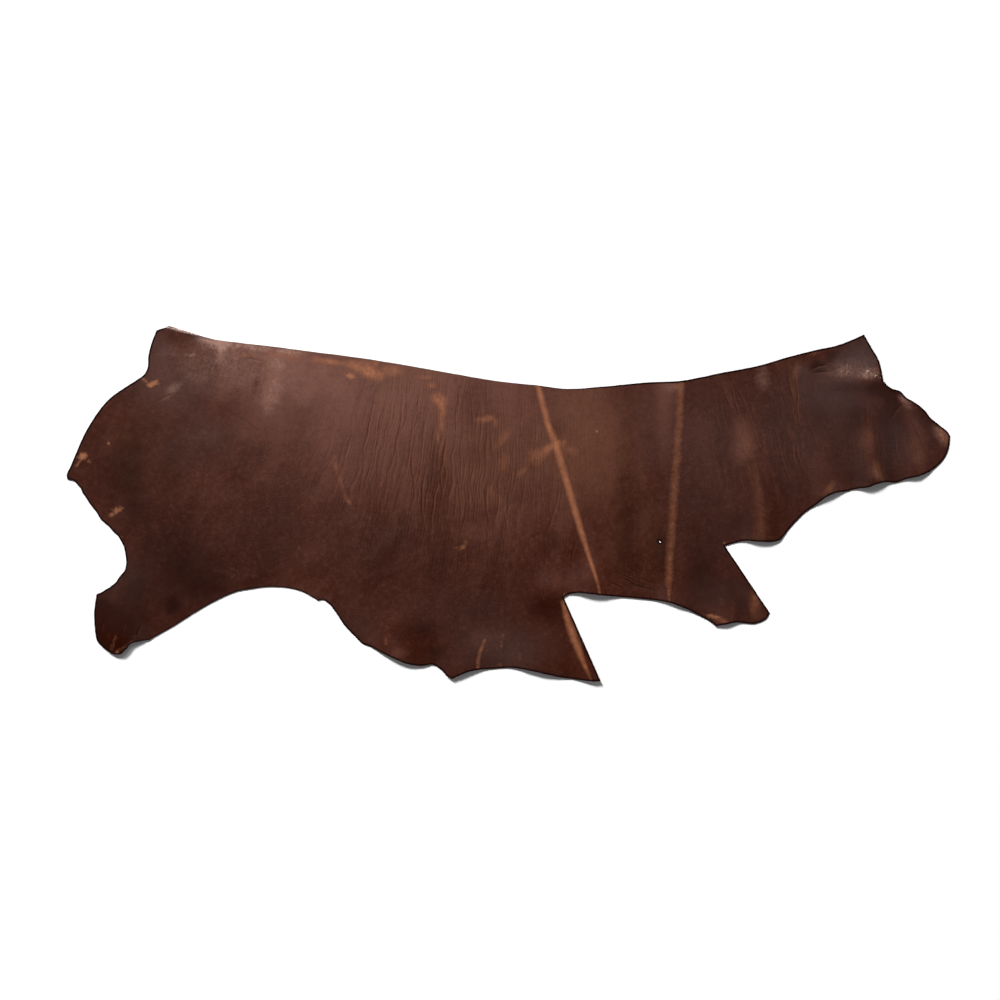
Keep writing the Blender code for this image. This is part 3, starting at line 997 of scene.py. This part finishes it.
def grain_face(edge):
    """The grain side: points and triangles, finest where the wrinkles are."""
    rim = edge - outward(edge) * EDGE_BEVEL
    ring = edge - outward(edge) * EDGE_RING
    ring = ring[inside_loop(*ring.T, rim) & (to_edge(*ring.T, edge) > RING_CLEAR * EDGE_RING)]
    low, high = edge[:, 0].min(), edge[:, 0].max()
    creased = column_places(low, high)
    plain = np.arange(low, high, PLAIN_PITCH)
    inner = fill_points(edge, ROW_PITCH, lambda y: creased if WRINKLE_Y[0] < y < WRINKLE_Y[1] else plain)
    lines = crease_points(edge)
    inner = inner[to_edge(*inner.T, lines) > CREASE_WIDTH]
    inner = np.concatenate([ring, inner, lines])
    return triangulated(rim, hole_edge(EDGE_BEVEL), inner)


def flesh_face(edge):
    """The flesh side: points and triangles, on an even grid."""
    columns = np.arange(edge[:, 0].min(), edge[:, 0].max(), FLESH_PITCH)
    inner = fill_points(edge, FLESH_ROW_PITCH, lambda y: columns)
    points, faces = triangulated(edge, hole_edge(), inner)
    return points, faces[:, ::-1]


def wall(lower, upper, count):
    """Triangles between two loops of count points whose first ones are at lower and upper."""
    i = np.arange(count)
    j = (i + 1) % count
    return np.concatenate(
        [np.stack([lower + i, lower + j, upper + j], 1), np.stack([lower + i, upper + j, upper + i], 1)]
    )


def make_hide(sizes):
    """The whole sheet: grain side, flesh side and the cut walls between them, closed."""
    edge = cut_edge()
    grain, grain_faces = grain_face(edge)
    flesh, flesh_faces = flesh_face(edge)
    hole = hole_edge()
    rims = np.concatenate([edge, hole])
    x, y = grain.T
    lines = [creases(x, y), wrinkles(x, y)]
    troughs = np.max([trough(*line) for line in lines], axis=0)
    banks = np.max([bank(*line) for line in lines], axis=0)
    thickness = sizes.thickness / MM
    grain_z = lift(x, y) + thickness - np.minimum(troughs, DEEPEST_TROUGH) + hills(UNEVEN, x, y)
    shoulder_z = lift(*rims.T) + SHOULDER * thickness
    heights = np.concatenate([grain_z, lift(*flesh.T), shoulder_z])
    co = np.column_stack([np.concatenate([grain, flesh, rims]), heights]) * MM
    first_flesh, first_shoulder = len(grain), len(grain) + len(flesh)
    walls = [
        wall(first_flesh, first_shoulder, len(edge)),
        wall(first_shoulder, 0, len(edge)),
        wall(first_flesh + len(edge), first_shoulder + len(edge), len(hole)),
        wall(first_shoulder + len(edge), len(edge), len(hole)),
    ]
    faces = np.concatenate([grain_faces, flesh_faces + first_flesh, *walls])
    mesh = bpy.data.meshes.new("leather_side")
    mesh.from_pydata(co, [], faces)
    slots = np.repeat([0, 1, 2], [len(grain_faces), len(flesh_faces), sum(map(len, walls))])
    mesh.polygons.foreach_set("material_index", slots.astype(np.int32))
    mesh.shade_smooth()
    mesh.set_sharp_from_angle(angle=radians(SHARP_ANGLE))
    worked_out = (
        troughs,
        banks,
        pull_up(x, y),
        rim_distance(x, y, rims),
        dull_slopes(x, y) + blobs(DRY, x, y),
        across_wrinkles(x, y) * MM,
    )
    fields = {name: blobs(rows, x, y) for name, rows in PATCHES.items()}
    add_fields(mesh, {**fields, **dict(zip(WORKED_OUT, worked_out))})
    return mesh


def add_fields(mesh, fields):
    """Gives the mesh's first points, the grain's, what its material reads there, and the rest 0."""
    for name, values in fields.items():
        others = len(mesh.vertices) - len(values)
        layer = mesh.attributes.new(name, "FLOAT", "POINT")
        layer.data.foreach_set("value", np.pad(values, (0, others)).astype(np.float32))


# ---------------------------------------------------------------- materials


def linear(code):
    """An sRGB hex value such as "#4a2c22" as linear red, green, blue and alpha."""
    parts = [int(code[i : i + 2], 16) / 255 for i in (1, 3, 5)]
    return (*(p / 12.92 if p <= 0.04045 else ((p + 0.055) / 1.055) ** 2.4 for p in parts), 1.0)


def add(tree, kind, settings=None, inputs=None):
    """Adds a node: settings are its attributes, inputs its sockets by name or number, each set
    to a value or linked to another node's output."""
    node = tree.nodes.new(kind)
    for name, value in (settings or {}).items():
        setattr(node, name, value)
    for name, value in (inputs or {}).items():
        if isinstance(value, bpy.types.NodeSocket):
            tree.links.new(value, node.inputs[name])
        else:
            node.inputs[name].default_value = value
    return node


COLOURS = {"data_type": "RGBA"}
A, B, MIXED = 6, 7, 2  # a colour Mix node's sockets
WAVE_PERIOD = 0.314  # of a wave texture whose scale is 1

# Each of these adds a node beside the socket that it is given, and returns the node's output.


def noise(vector, size_mm, detail=2.0, roughness=0.5):
    """A noise with its largest features about size_mm across."""
    inputs = {"Vector": vector, "Scale": 1 / (size_mm * MM), "Detail": detail, "Roughness": roughness}
    return add(vector.id_data, "ShaderNodeTexNoise", None, inputs).outputs["Fac"]


def span(value, low, high, to_low=0.0, to_high=1.0):
    """Takes low to to_low and high to to_high, straight between them and level beyond."""
    inputs = {"Value": value, 1: low, 2: high, 3: to_low, 4: to_high}
    return add(value.id_data, "ShaderNodeMapRange", {"clamp": True}, inputs).outputs["Result"]


def calculated(operation, first, second=0.0):
    return add(first.id_data, "ShaderNodeMath", {"operation": operation}, {0: first, 1: second}).outputs[0]


def sum_of(first, second):
    return calculated("ADD", first, second)


def product(first, second):
    return calculated("MULTIPLY", first, second)


def mixed(amount, ground, colour):
    """The ground with this amount of the colour over it."""
    inputs = {0: amount, A: ground, B: colour}
    return add(amount.id_data, "ShaderNodeMix", COLOURS, inputs).outputs[MIXED]


def moved(vector, **inputs):
    """The vector through a Mapping node with these inputs."""
    return add(vector.id_data, "ShaderNodeMapping", None, {"Vector": vector, **inputs}).outputs["Vector"]


def bumped(height, depth_mm, strength=1.0, under=None, invert=False):
    """The normal with a bump of this depth, over the normal under it if there is one."""
    inputs = {"Strength": strength, "Distance": depth_mm * MM, "Height": height}
    if under is not None:
        inputs["Normal"] = under
    return add(height.id_data, "ShaderNodeBump", {"invert": invert}, inputs).outputs["Normal"]


def drawn_lines(vector, size_mm, width):
    """1 along the lines where a noise passes its middle, falling to 0 beside them."""
    off = calculated("SUBTRACT", noise(vector, size_mm, 0.6), 0.5)
    return span(calculated("ABSOLUTE", off), 0, width, 1.0, 0.0)


def empty_material(name):
    """A material without nodes, and the place of each point on the object in it."""
    material = bpy.data.materials.new(name)
    material.use_nodes = True
    material.node_tree.nodes.clear()
    return material, add(material.node_tree, "ShaderNodeTexCoord").outputs["Object"]


def shaded(material, inputs):
    """Gives the material a Principled shader with these inputs."""
    shader = add(material.node_tree, "ShaderNodeBsdfPrincipled", None, inputs)
    add(material.node_tree, "ShaderNodeOutputMaterial", None, {"Surface": shader.outputs["BSDF"]})
    return material


# ---------------------------------------------------------------- the grain side

Patterns = namedtuple("Patterns", "place mottle streak banks fine_lines wrinkle worn")


def grain_patterns(place, field):
    """What the grain's colour and its bumps share. Most of it is drawn out along the wrinkles:
    the place across them is pushed sideways by a slow noise, and the place along them is
    scaled down."""
    tree = place.id_data
    across = sum_of(field["across"], product(noise(place, 80, 1.5), 30 * MM))
    north = add(tree, "ShaderNodeSeparateXYZ", None, {"Vector": place}).outputs["Y"]
    run = add(tree, "ShaderNodeCombineXYZ", None, {"X": across, "Y": north}).outputs["Vector"]
    along = moved(run, Scale=(1, 0.05, 1))
    fine_lines = add(
        tree, "ShaderNodeTexWave", {"bands_direction": "X"},
        {
            "Vector": along, "Scale": WAVE_PERIOD / (9 * MM), "Distortion": 6.0, "Detail": 2.0,
            "Detail Scale": 0.03,
        },
    ).outputs["Fac"]
    strong = product(span(noise(place, 100), 0.4, 0.6), span(field["wrinkled"], 0.1, 1))
    weak = product(span(noise(place, 60), 0.42, 0.6, 0.05, 0.5), span(field["wrinkled"], 0.1, 1))

    def wrinkle_lines(vector):
        far_apart = product(drawn_lines(vector, 52, 0.03), strong)
        return sum_of(far_apart, product(drawn_lines(vector, 21, 0.06), weak))

    return Patterns(
        place=place,
        mottle=noise(place, 30, 5, 0.6),
        streak=noise(moved(run, Scale=(1, 0.07, 1)), 8, 3, 0.6),
        banks=noise(moved(run, Scale=(1, 0.5, 1)), 120, 4, 0.65),
        fine_lines=fine_lines,
        wrinkle=wrinkle_lines(along),
        # Each line's side toward the muzzle faces the light and gets a painted highlight: the same lines,
        # moved over.
        worn=wrinkle_lines(moved(along, Location=(-3.2 * MM, 0, 0))),
    )


def dyed_ground(patterns, field, colours):
    """The dye with its clouds and mottling, which lighten the darkest dye less than the rest; its field also
    paints light and shade. Then the warm cast of the wax, a bluish grey cast and a pale haze, each partly
    wax and partly painted sheen, and specks."""
    place, mottle, streak = patterns.place, patterns.mottle, patterns.streak
    open_dye_and_shading = span(field["dye"], -1, 0, 0.15, 1)
    clouds = sum_of(noise(place, 170, 3, 0.55), mottle)
    ground = mixed(span(clouds, 0.7, 1.3), colours.deep, colours.brown)
    # the dye field also paints the light's falloff and the light and shade of folds and creases
    ground = mixed(span(field["dye"], 0, 1), ground, colours.light)
    ground = mixed(span(field["dye"], 0, -1), ground, colours.dark)
    ground = mixed(product(span(patterns.banks, 0.5, 0.75, 0, 0.25), open_dye_and_shading), ground, colours.light)
    ground = mixed(span(patterns.banks, 0.5, 0.25, 0, 0.3), ground, colours.dark)
    pale = span(noise(place, 16, 5, 0.7), 0.5, 0.7, 0, 0.2)
    ground = mixed(product(pale, open_dye_and_shading), ground, colours.light)
    ground = mixed(span(noise(place, 21, 5, 0.7), 0.5, 0.3, 0, 0.24), ground, colours.dark)
    # a bluish grey cast: partly a film of wax, partly painted sheen
    ground = mixed(span(field["smoky_sheen"], 0, 1), ground, colours.smoky_sheen)
    warm = product(span(field["warm"], 0, 1), span(mottle, 0.3, 0.7, 0.5, 1.0))
    ground = mixed(product(warm, span(streak, 0.3, 0.7, 0.5, 0.9)), ground, colours.russet)
    # a pale haze: partly wax, partly painted sheen and highlight
    hazy = sum_of(
        span(noise(moved(place, Scale=(0.5, 1, 1)), 26, 5, 0.7), 0.35, 0.65, 0.35, 1.15),
        span(noise(place, 7, 4, 0.75), 0.35, 0.65, -0.5, 0.65),
    )
    bloom_and_sheen = product(field["bloom_and_sheen"], product(hazy, span(streak, 0.35, 0.65, 0.7, 1.1)))
    ground = mixed(bloom_and_sheen, ground, colours.bloom_and_sheen)
    speck = noise(place, 6, 4, 0.7)
    ground = mixed(span(speck, 0.5, 0.3, 0, 0.23), ground, colours.dark)
    return mixed(product(span(speck, 0.5, 0.7, 0, 0.13), open_dye_and_shading), ground, colours.light)


def wrinkled_ground(ground, patterns, field, colours):
    """The ground with painted shade in the troughs of wrinkles and creases, and painted highlights on their
    sides that face the light.
    """
    # painted shade in the troughs of the fine and the fat wrinkles
    fine = product(span(patterns.fine_lines, 0.4, 0), span(field["wrinkled"], 0, 1, 0.02, 0.1))
    ground = mixed(sum_of(fine, product(patterns.wrinkle, 0.3)), ground, colours.dark)
    # a painted highlight on each wrinkle's side that faces the light
    ground = mixed(product(patterns.worn, 0.26), ground, colours.worn)
    # painted shade in the creases, nearly black in the deepest
    ground = mixed(span(field["crease"], 0.15, 1.2, 0, 0.6), ground, colours.dark)
    ground = mixed(span(field["crease"], 0.9, 1.8, 0, 0.9), ground, colours.edge)
    # a painted highlight on the creases' and wrinkles' sides that face the light
    banks = product(span(field["bank"], 0.2, 1.6, 0, 0.42), span(field["wrinkled"], 0.4, 0.9, 0.6, 1))
    return mixed(banks, ground, colours.worn)


def marked_ground(ground, patterns, field, colours):
    """The ground with its rubs, tan fold lines, scuffs, painted glints and dark rim, and how much
    of each place is a line or a scuff, where the wax is gone."""
    place, streak = patterns.place, patterns.streak
    rub = product(span(field["rub"], 0.04, 1), span(noise(place, 13, 4, 0.75), 0.35, 0.65, 0.35, 1.25))
    rub = product(rub, span(streak, 0.35, 0.65, 0.75, 1.0))
    ground = mixed(rub, ground, colours.tan)
    frayed = sum_of(field["pull_up"], span(noise(place, 12, 3, 0.6), 0.3, 0.7, -0.1, 0.1))
    grained = product(span(streak, 0.3, 0.7, 0.82, 1.0), span(patterns.mottle, 0.3, 0.7, 0.6, 1.1))
    line = product(span(frayed, -0.15, 0.85, 0, 1.0), grained)
    line = product(line, span(noise(place, 22, 5, 0.7), 0.35, 0.6, 0.75, 1))
    ground = mixed(line, ground, colours.tan)
    ragged = sum_of(field["scuff"], span(noise(place, 12, 4, 0.7), 0.3, 0.7, -0.3, 0.3))
    scuff = product(span(ragged, 0.2, 0.9, 0, 0.9), span(field["scuff"], 0, 0.1))
    ground = mixed(scuff, ground, colours.scuff)
    # painted glints: pale specks of highlight
    loose = sum_of(field["glint"], span(noise(place, 5, 3, 0.7), 0.35, 0.65, -0.7, 0.7))
    ground = mixed(span(loose, 0.7, 1.3, 0, 0.85), ground, colours.glint)
    return mixed(span(field["edge"], 4.0, 6.8, 1.0, 0), ground, colours.edge), sum_of(scuff, line)


def grain_normal(patterns, field):
    """Soft unevenness, the troughs of the finer wrinkles, and hair cells."""
    soft = bumped(noise(patterns.place, 34, 3, 0.55), 0.4)
    fine = product(span(patterns.fine_lines, 0.5, 0), span(field["wrinkled"], 0, 1, 0.03, 0.25))
    troughs = bumped(sum_of(fine, patterns.wrinkle), 0.6, under=soft, invert=True)
    # Hair cells are 0.2 to 0.5 mm across: drawn at 1.2 mm so that a near view shows them.
    cells = {"Vector": patterns.place, "Scale": 1 / (1.2 * MM)}
    cells = add(patterns.place.id_data, "ShaderNodeTexVoronoi", {"feature": "F1"}, cells)
    return bumped(cells.outputs["Distance"], 0.08, strength=0.5, under=troughs)


def grain_leather(colours):
    """Pull-up leather: aniline-dyed full grain, filled with oil and wax and left unpressed.

    The wax gives it a dull shine and a cloudy depth. Where it was bent or scuffed the wax has
    moved, and the tan under it shows. The grain is darkest at the shanks, and its colour also carries
    painted light and shade: the light's falloff, shade in troughs and beside folds, and painted highlights,
    glints and sheen.
    """
    material, place = empty_material("pull_up_leather")
    field = {
        name: add(material.node_tree, "ShaderNodeAttribute", {"attribute_name": name}).outputs["Fac"]
        for name in (*PATCHES, *WORKED_OUT)
    }
    patterns = grain_patterns(place, field)
    ground = dyed_ground(patterns, field, colours)
    ground = wrinkled_ground(ground, patterns, field, colours)
    ground, bared = marked_ground(ground, patterns, field, colours)
    shine = product(span(field["dull"], 0, 1, 0.5, 0.15), span(field["edge"], 3, 7, 0.3, 1))
    return shaded(
        material,
        {
            "Base Color": ground,
            "Roughness": sum_of(span(patterns.mottle, 0.3, 0.7, 0.31, 0.39), product(bared, 0.1)),
            "Normal": grain_normal(patterns, field),
            "IOR": 1.38,
            "Specular IOR Level": shine,
        },
    )


# ---------------------------------------------------------------- the other surfaces


def flesh_leather(colours):
    """The flesh side: leather split and buffed to a short nap, dyed through. It is dull, with
    the fibres' fine lint, and paler where the dye didn't reach as deep."""
    material, place = empty_material("suede_flesh_side")
    return shaded(
        material,
        {
            "Base Color": mixed(noise(place, 60, 4), colours.flesh_dark, colours.flesh),
            "Roughness": 0.92,
            "Sheen Weight": 0.3,
            "Normal": bumped(noise(place, 3, 3), 0.5, strength=0.6),
        },
    )


def cut_leather(colours):
    """The raw cut edge: matted fibre, dyed nearly black by the wax that it has drunk."""
    material, place = empty_material("cut_edge")
    fibres = noise(moved(place, Scale=(1, 1, 6)), 4, 4)
    return shaded(
        material,
        {
            "Base Color": mixed(fibres, colours.edge, colours.brown),
            "Roughness": 0.8,
            "Normal": bumped(fibres, 0.3, strength=0.7),
        },
    )


def floor_paint(colours):
    """A painted studio floor: matt white, with no pattern of its own."""
    material, _ = empty_material("matt_floor_paint")
    return shaded(material, {"Base Color": colours.floor, "Roughness": 0.9, "Specular IOR Level": 0.2})


# ---------------------------------------------------------------- settings


class LeatherSizes(bpy.types.PropertyGroup):
    thickness: FloatProperty(
        name="Thickness", description="Of the whole sheet", default=2.0 * MM, min=0.5 * MM,
        subtype="DISTANCE", unit="LENGTH",
    )


def colour_property(name, code, description):
    return FloatVectorProperty(
        name=name, description=description, subtype="COLOR", size=4, min=0, max=1, default=linear(code)
    )


class LeatherColours(bpy.types.PropertyGroup):
    brown: colour_property("Brown", "#3b180d", "The dyed and waxed grain")
    deep: colour_property("Deep brown", "#34150b", "The grain where its clouds are dark")
    # also painted light where the dye field lightens the grain for the light's falloff and folds
    light: colour_property("Light brown", "#6a4236", "The grain where the dye is thin")
    # also painted shade: the bottom of creases and wrinkles, and where the dye field paints shade
    dark: colour_property("Dark brown", "#220600", "The shanks and the bottom of a crease")
    russet: colour_property("Russet", "#5a3722", "The grain where the wax lies thin")
    # a painted highlight on the side of a wrinkle or crease that faces the light
    worn: colour_property("Worn bank", "#7c4d36", "The bank of a wrinkle, where the dye has worn")
    tan: colour_property("Tan", "#90593c", "A line where the leather was folded")
    scuff: colour_property("Scuff", "#8d5a3c", "A scuffed patch")
    # a pale haze, partly wax and partly painted sheen and highlight
    bloom_and_sheen: colour_property("Bloom", "#8f6c60", "Wax that has come up as a pale haze")
    # painted glints: pale specks of highlight
    glint: colour_property("Flaked wax", "#cbb6a6", "Specks of loose wax")
    # a bluish grey cast, partly a film of wax and partly painted sheen
    smoky_sheen: colour_property("Smoky brown", "#3d2b28", "The grain under a bluish film of wax")
    # also the painted shade at the bottom of the deepest creases
    edge: colour_property("Edge", "#160503", "The cut edge")
    flesh: colour_property("Flesh side", "#6f4c3a", "The nap underneath")
    flesh_dark: colour_property("Flesh side, dark", "#54372a", "The nap where it lies flat")
    floor: colour_property("Floor", "#f4f4f4", "The studio floor")


class StageSizes(bpy.types.PropertyGroup):
    view_width: FloatProperty(
        name="View width", description="What the camera sees across on the floor", default=3.0,
        subtype="DISTANCE", unit="LENGTH",
    )
    camera_height: FloatProperty(
        name="Camera height", description="Above the floor, looking straight down", default=5.0,
        subtype="DISTANCE", unit="LENGTH",
    )
    key_elevation: FloatProperty(
        name="Key elevation", description="Of the main light above the floor", default=radians(30),
        subtype="ANGLE",
    )
    key_azimuth: FloatProperty(
        name="Key azimuth", description="Of the main light, from +X", default=radians(117), subtype="ANGLE",
    )
    key_spread: FloatProperty(
        name="Key spread", description="How wide the main light looks from the hide",
        default=radians(13), subtype="ANGLE",
    )


FLOOR_SIZE = 60
FLOOR_DROP = 0.0003  # below the hide's underside, so that the two don't share a plane
CAMERA_X = -25.5 * MM  # the picture's middle, from the middle of the outline
CAMERA_Y = 10.5 * MM
SENSOR = 36.0
KEY_POWER = 5.6
KEY_DISTANCE = 6
WALL_LIGHT = 0.75  # of the pale walls at the horizon
WALL_TOP = 0.8  # none comes from higher than this, where straight above is 1

SoftBox = namedtuple("SoftBox", "name place aim size power")
SOFT_BOXES = (
    SoftBox("soft box", (-0.75, 1.75, 1.5), (-0.4, 0.4, 0), 1.0, 20),
    SoftBox("top box", (-0.96, 0.82, 6), (-0.4, 0.3, 0), 1.2, 9),
)


# ---------------------------------------------------------------- operators


class LEATHER_OT_hide(bpy.types.Operator):
    """Makes the hide's sheet with its materials, in the place of its solid"""

    bl_idname = "leather.hide"
    bl_label = "Hide"

    def execute(self, context):
        sizes = context.scene.leather_sizes
        mesh = make_hide(sizes)
        for material in (grain_leather, flesh_leather, cut_leather):
            mesh.materials.append(material(context.scene.leather_colours))
        hide = bpy.data.objects.new("leather_side", mesh)
        context.scene.collection.objects.link(hide)
        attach(hide, "root")
        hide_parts("hide")
        flat_area()
        return {"FINISHED"}


def flat_area():
    """The area inside the cut edge, in square metres: half the sum of its cross products."""
    x, y = cut_edge().T * MM
    return float(np.sum(x * np.roll(y, -1) - y * np.roll(x, -1)) / 2)


class LEATHER_OT_stage(bpy.types.Operator):
    """Makes the floor, the lamps and the camera above the hide"""

    bl_idname = "leather.stage"
    bl_label = "Stage"

    def execute(self, context):
        scene = context.scene
        stage = scene.leather_stage
        bpy.ops.mesh.primitive_plane_add(size=FLOOR_SIZE, location=(0, 0, -FLOOR_DROP))
        floor = context.object
        floor.name = "floor"
        floor.data.materials.append(floor_paint(scene.leather_colours))
        make_lamps(scene, stage)
        make_camera(scene, stage)
        return {"FINISHED"}


def make_lamps(scene, stage):
    """A low, far key on the backbone side for the shadows, a soft box over the backbone, one
    above the camera for the sheen, and pale walls around."""
    toward = Vector((
        cos(stage.key_azimuth) * cos(stage.key_elevation),
        sin(stage.key_azimuth) * cos(stage.key_elevation),
        sin(stage.key_elevation),
    ))
    key = bpy.data.lights.new("key", "SUN")
    key.energy = KEY_POWER
    key.angle = stage.key_spread
    hang(scene, key, toward * KEY_DISTANCE, Vector())
    for box in SOFT_BOXES:
        lamp = bpy.data.lights.new(box.name, "AREA")
        lamp.shape = "DISK"
        lamp.size = box.size
        lamp.energy = box.power
        hang(scene, lamp, Vector(box.place), Vector(box.aim))
    scene.world = studio_walls()


def hang(scene, lamp, place, aim):
    """Puts the lamp in its place, facing its aim, where the camera doesn't see it."""
    holder = bpy.data.objects.new(lamp.name, lamp)
    holder.location = place
    holder.rotation_euler = (aim - place).to_track_quat("-Z", "Y").to_euler()
    holder.visible_camera = False
    scene.collection.objects.link(holder)


def studio_walls():
    """Light from all around, brightest at the horizon and nearly none from straight above."""
    world = bpy.data.worlds.new("studio")
    world.use_nodes = True
    tree = world.node_tree
    way = add(tree, "ShaderNodeTexCoord").outputs["Generated"]
    height = add(tree, "ShaderNodeSeparateXYZ", None, {"Vector": way}).outputs["Z"]
    background = tree.nodes["Background"]
    background.inputs["Color"].default_value = (1, 1, 1, 1)
    tree.links.new(span(height, 0, WALL_TOP, WALL_LIGHT, 0), background.inputs["Strength"])
    return world


def make_camera(scene, stage):
    """A camera that looks straight down and sees the view's width on the floor."""
    camera = bpy.data.cameras.new("camera")
    camera.sensor_width = SENSOR
    camera.lens = SENSOR * stage.camera_height / stage.view_width
    holder = bpy.data.objects.new("camera", camera)
    holder.location = (CAMERA_X, CAMERA_Y, stage.camera_height)
    scene.collection.objects.link(holder)
    scene.camera = holder
    scene.view_settings.view_transform = "Standard"


class LEATHER_PT_panel(bpy.types.Panel):
    """Lists the hide, its stage and their settings"""

    bl_label = "Leather side"
    bl_idname = "LEATHER_PT_panel"
    bl_space_type = "VIEW_3D"
    bl_region_type = "UI"
    bl_category = "Leather"

    def draw(self, context):
        scene = context.scene
        for group in (scene.leather_sizes, scene.leather_colours, scene.leather_stage):
            box = self.layout.box()
            for name in group.__annotations__:
                box.prop(group, name)
        for operator in (LEATHER_OT_hide, LEATHER_OT_stage):
            self.layout.operator(operator.bl_idname)


CLASSES = (LeatherSizes, LeatherColours, StageSizes, LEATHER_OT_hide, LEATHER_OT_stage, LEATHER_PT_panel)


def register():
    for kind in CLASSES:
        bpy.utils.register_class(kind)
    bpy.types.Scene.leather_sizes = PointerProperty(type=LeatherSizes)
    bpy.types.Scene.leather_colours = PointerProperty(type=LeatherColours)
    bpy.types.Scene.leather_stage = PointerProperty(type=StageSizes)


def unregister():
    del bpy.types.Scene.leather_stage
    del bpy.types.Scene.leather_colours
    del bpy.types.Scene.leather_sizes
    for kind in reversed(CLASSES):
        bpy.utils.unregister_class(kind)


def main():
    register()
    bpy.ops.leather.hide()
    bpy.ops.leather.stage()


if __name__ == "__main__":
    main()
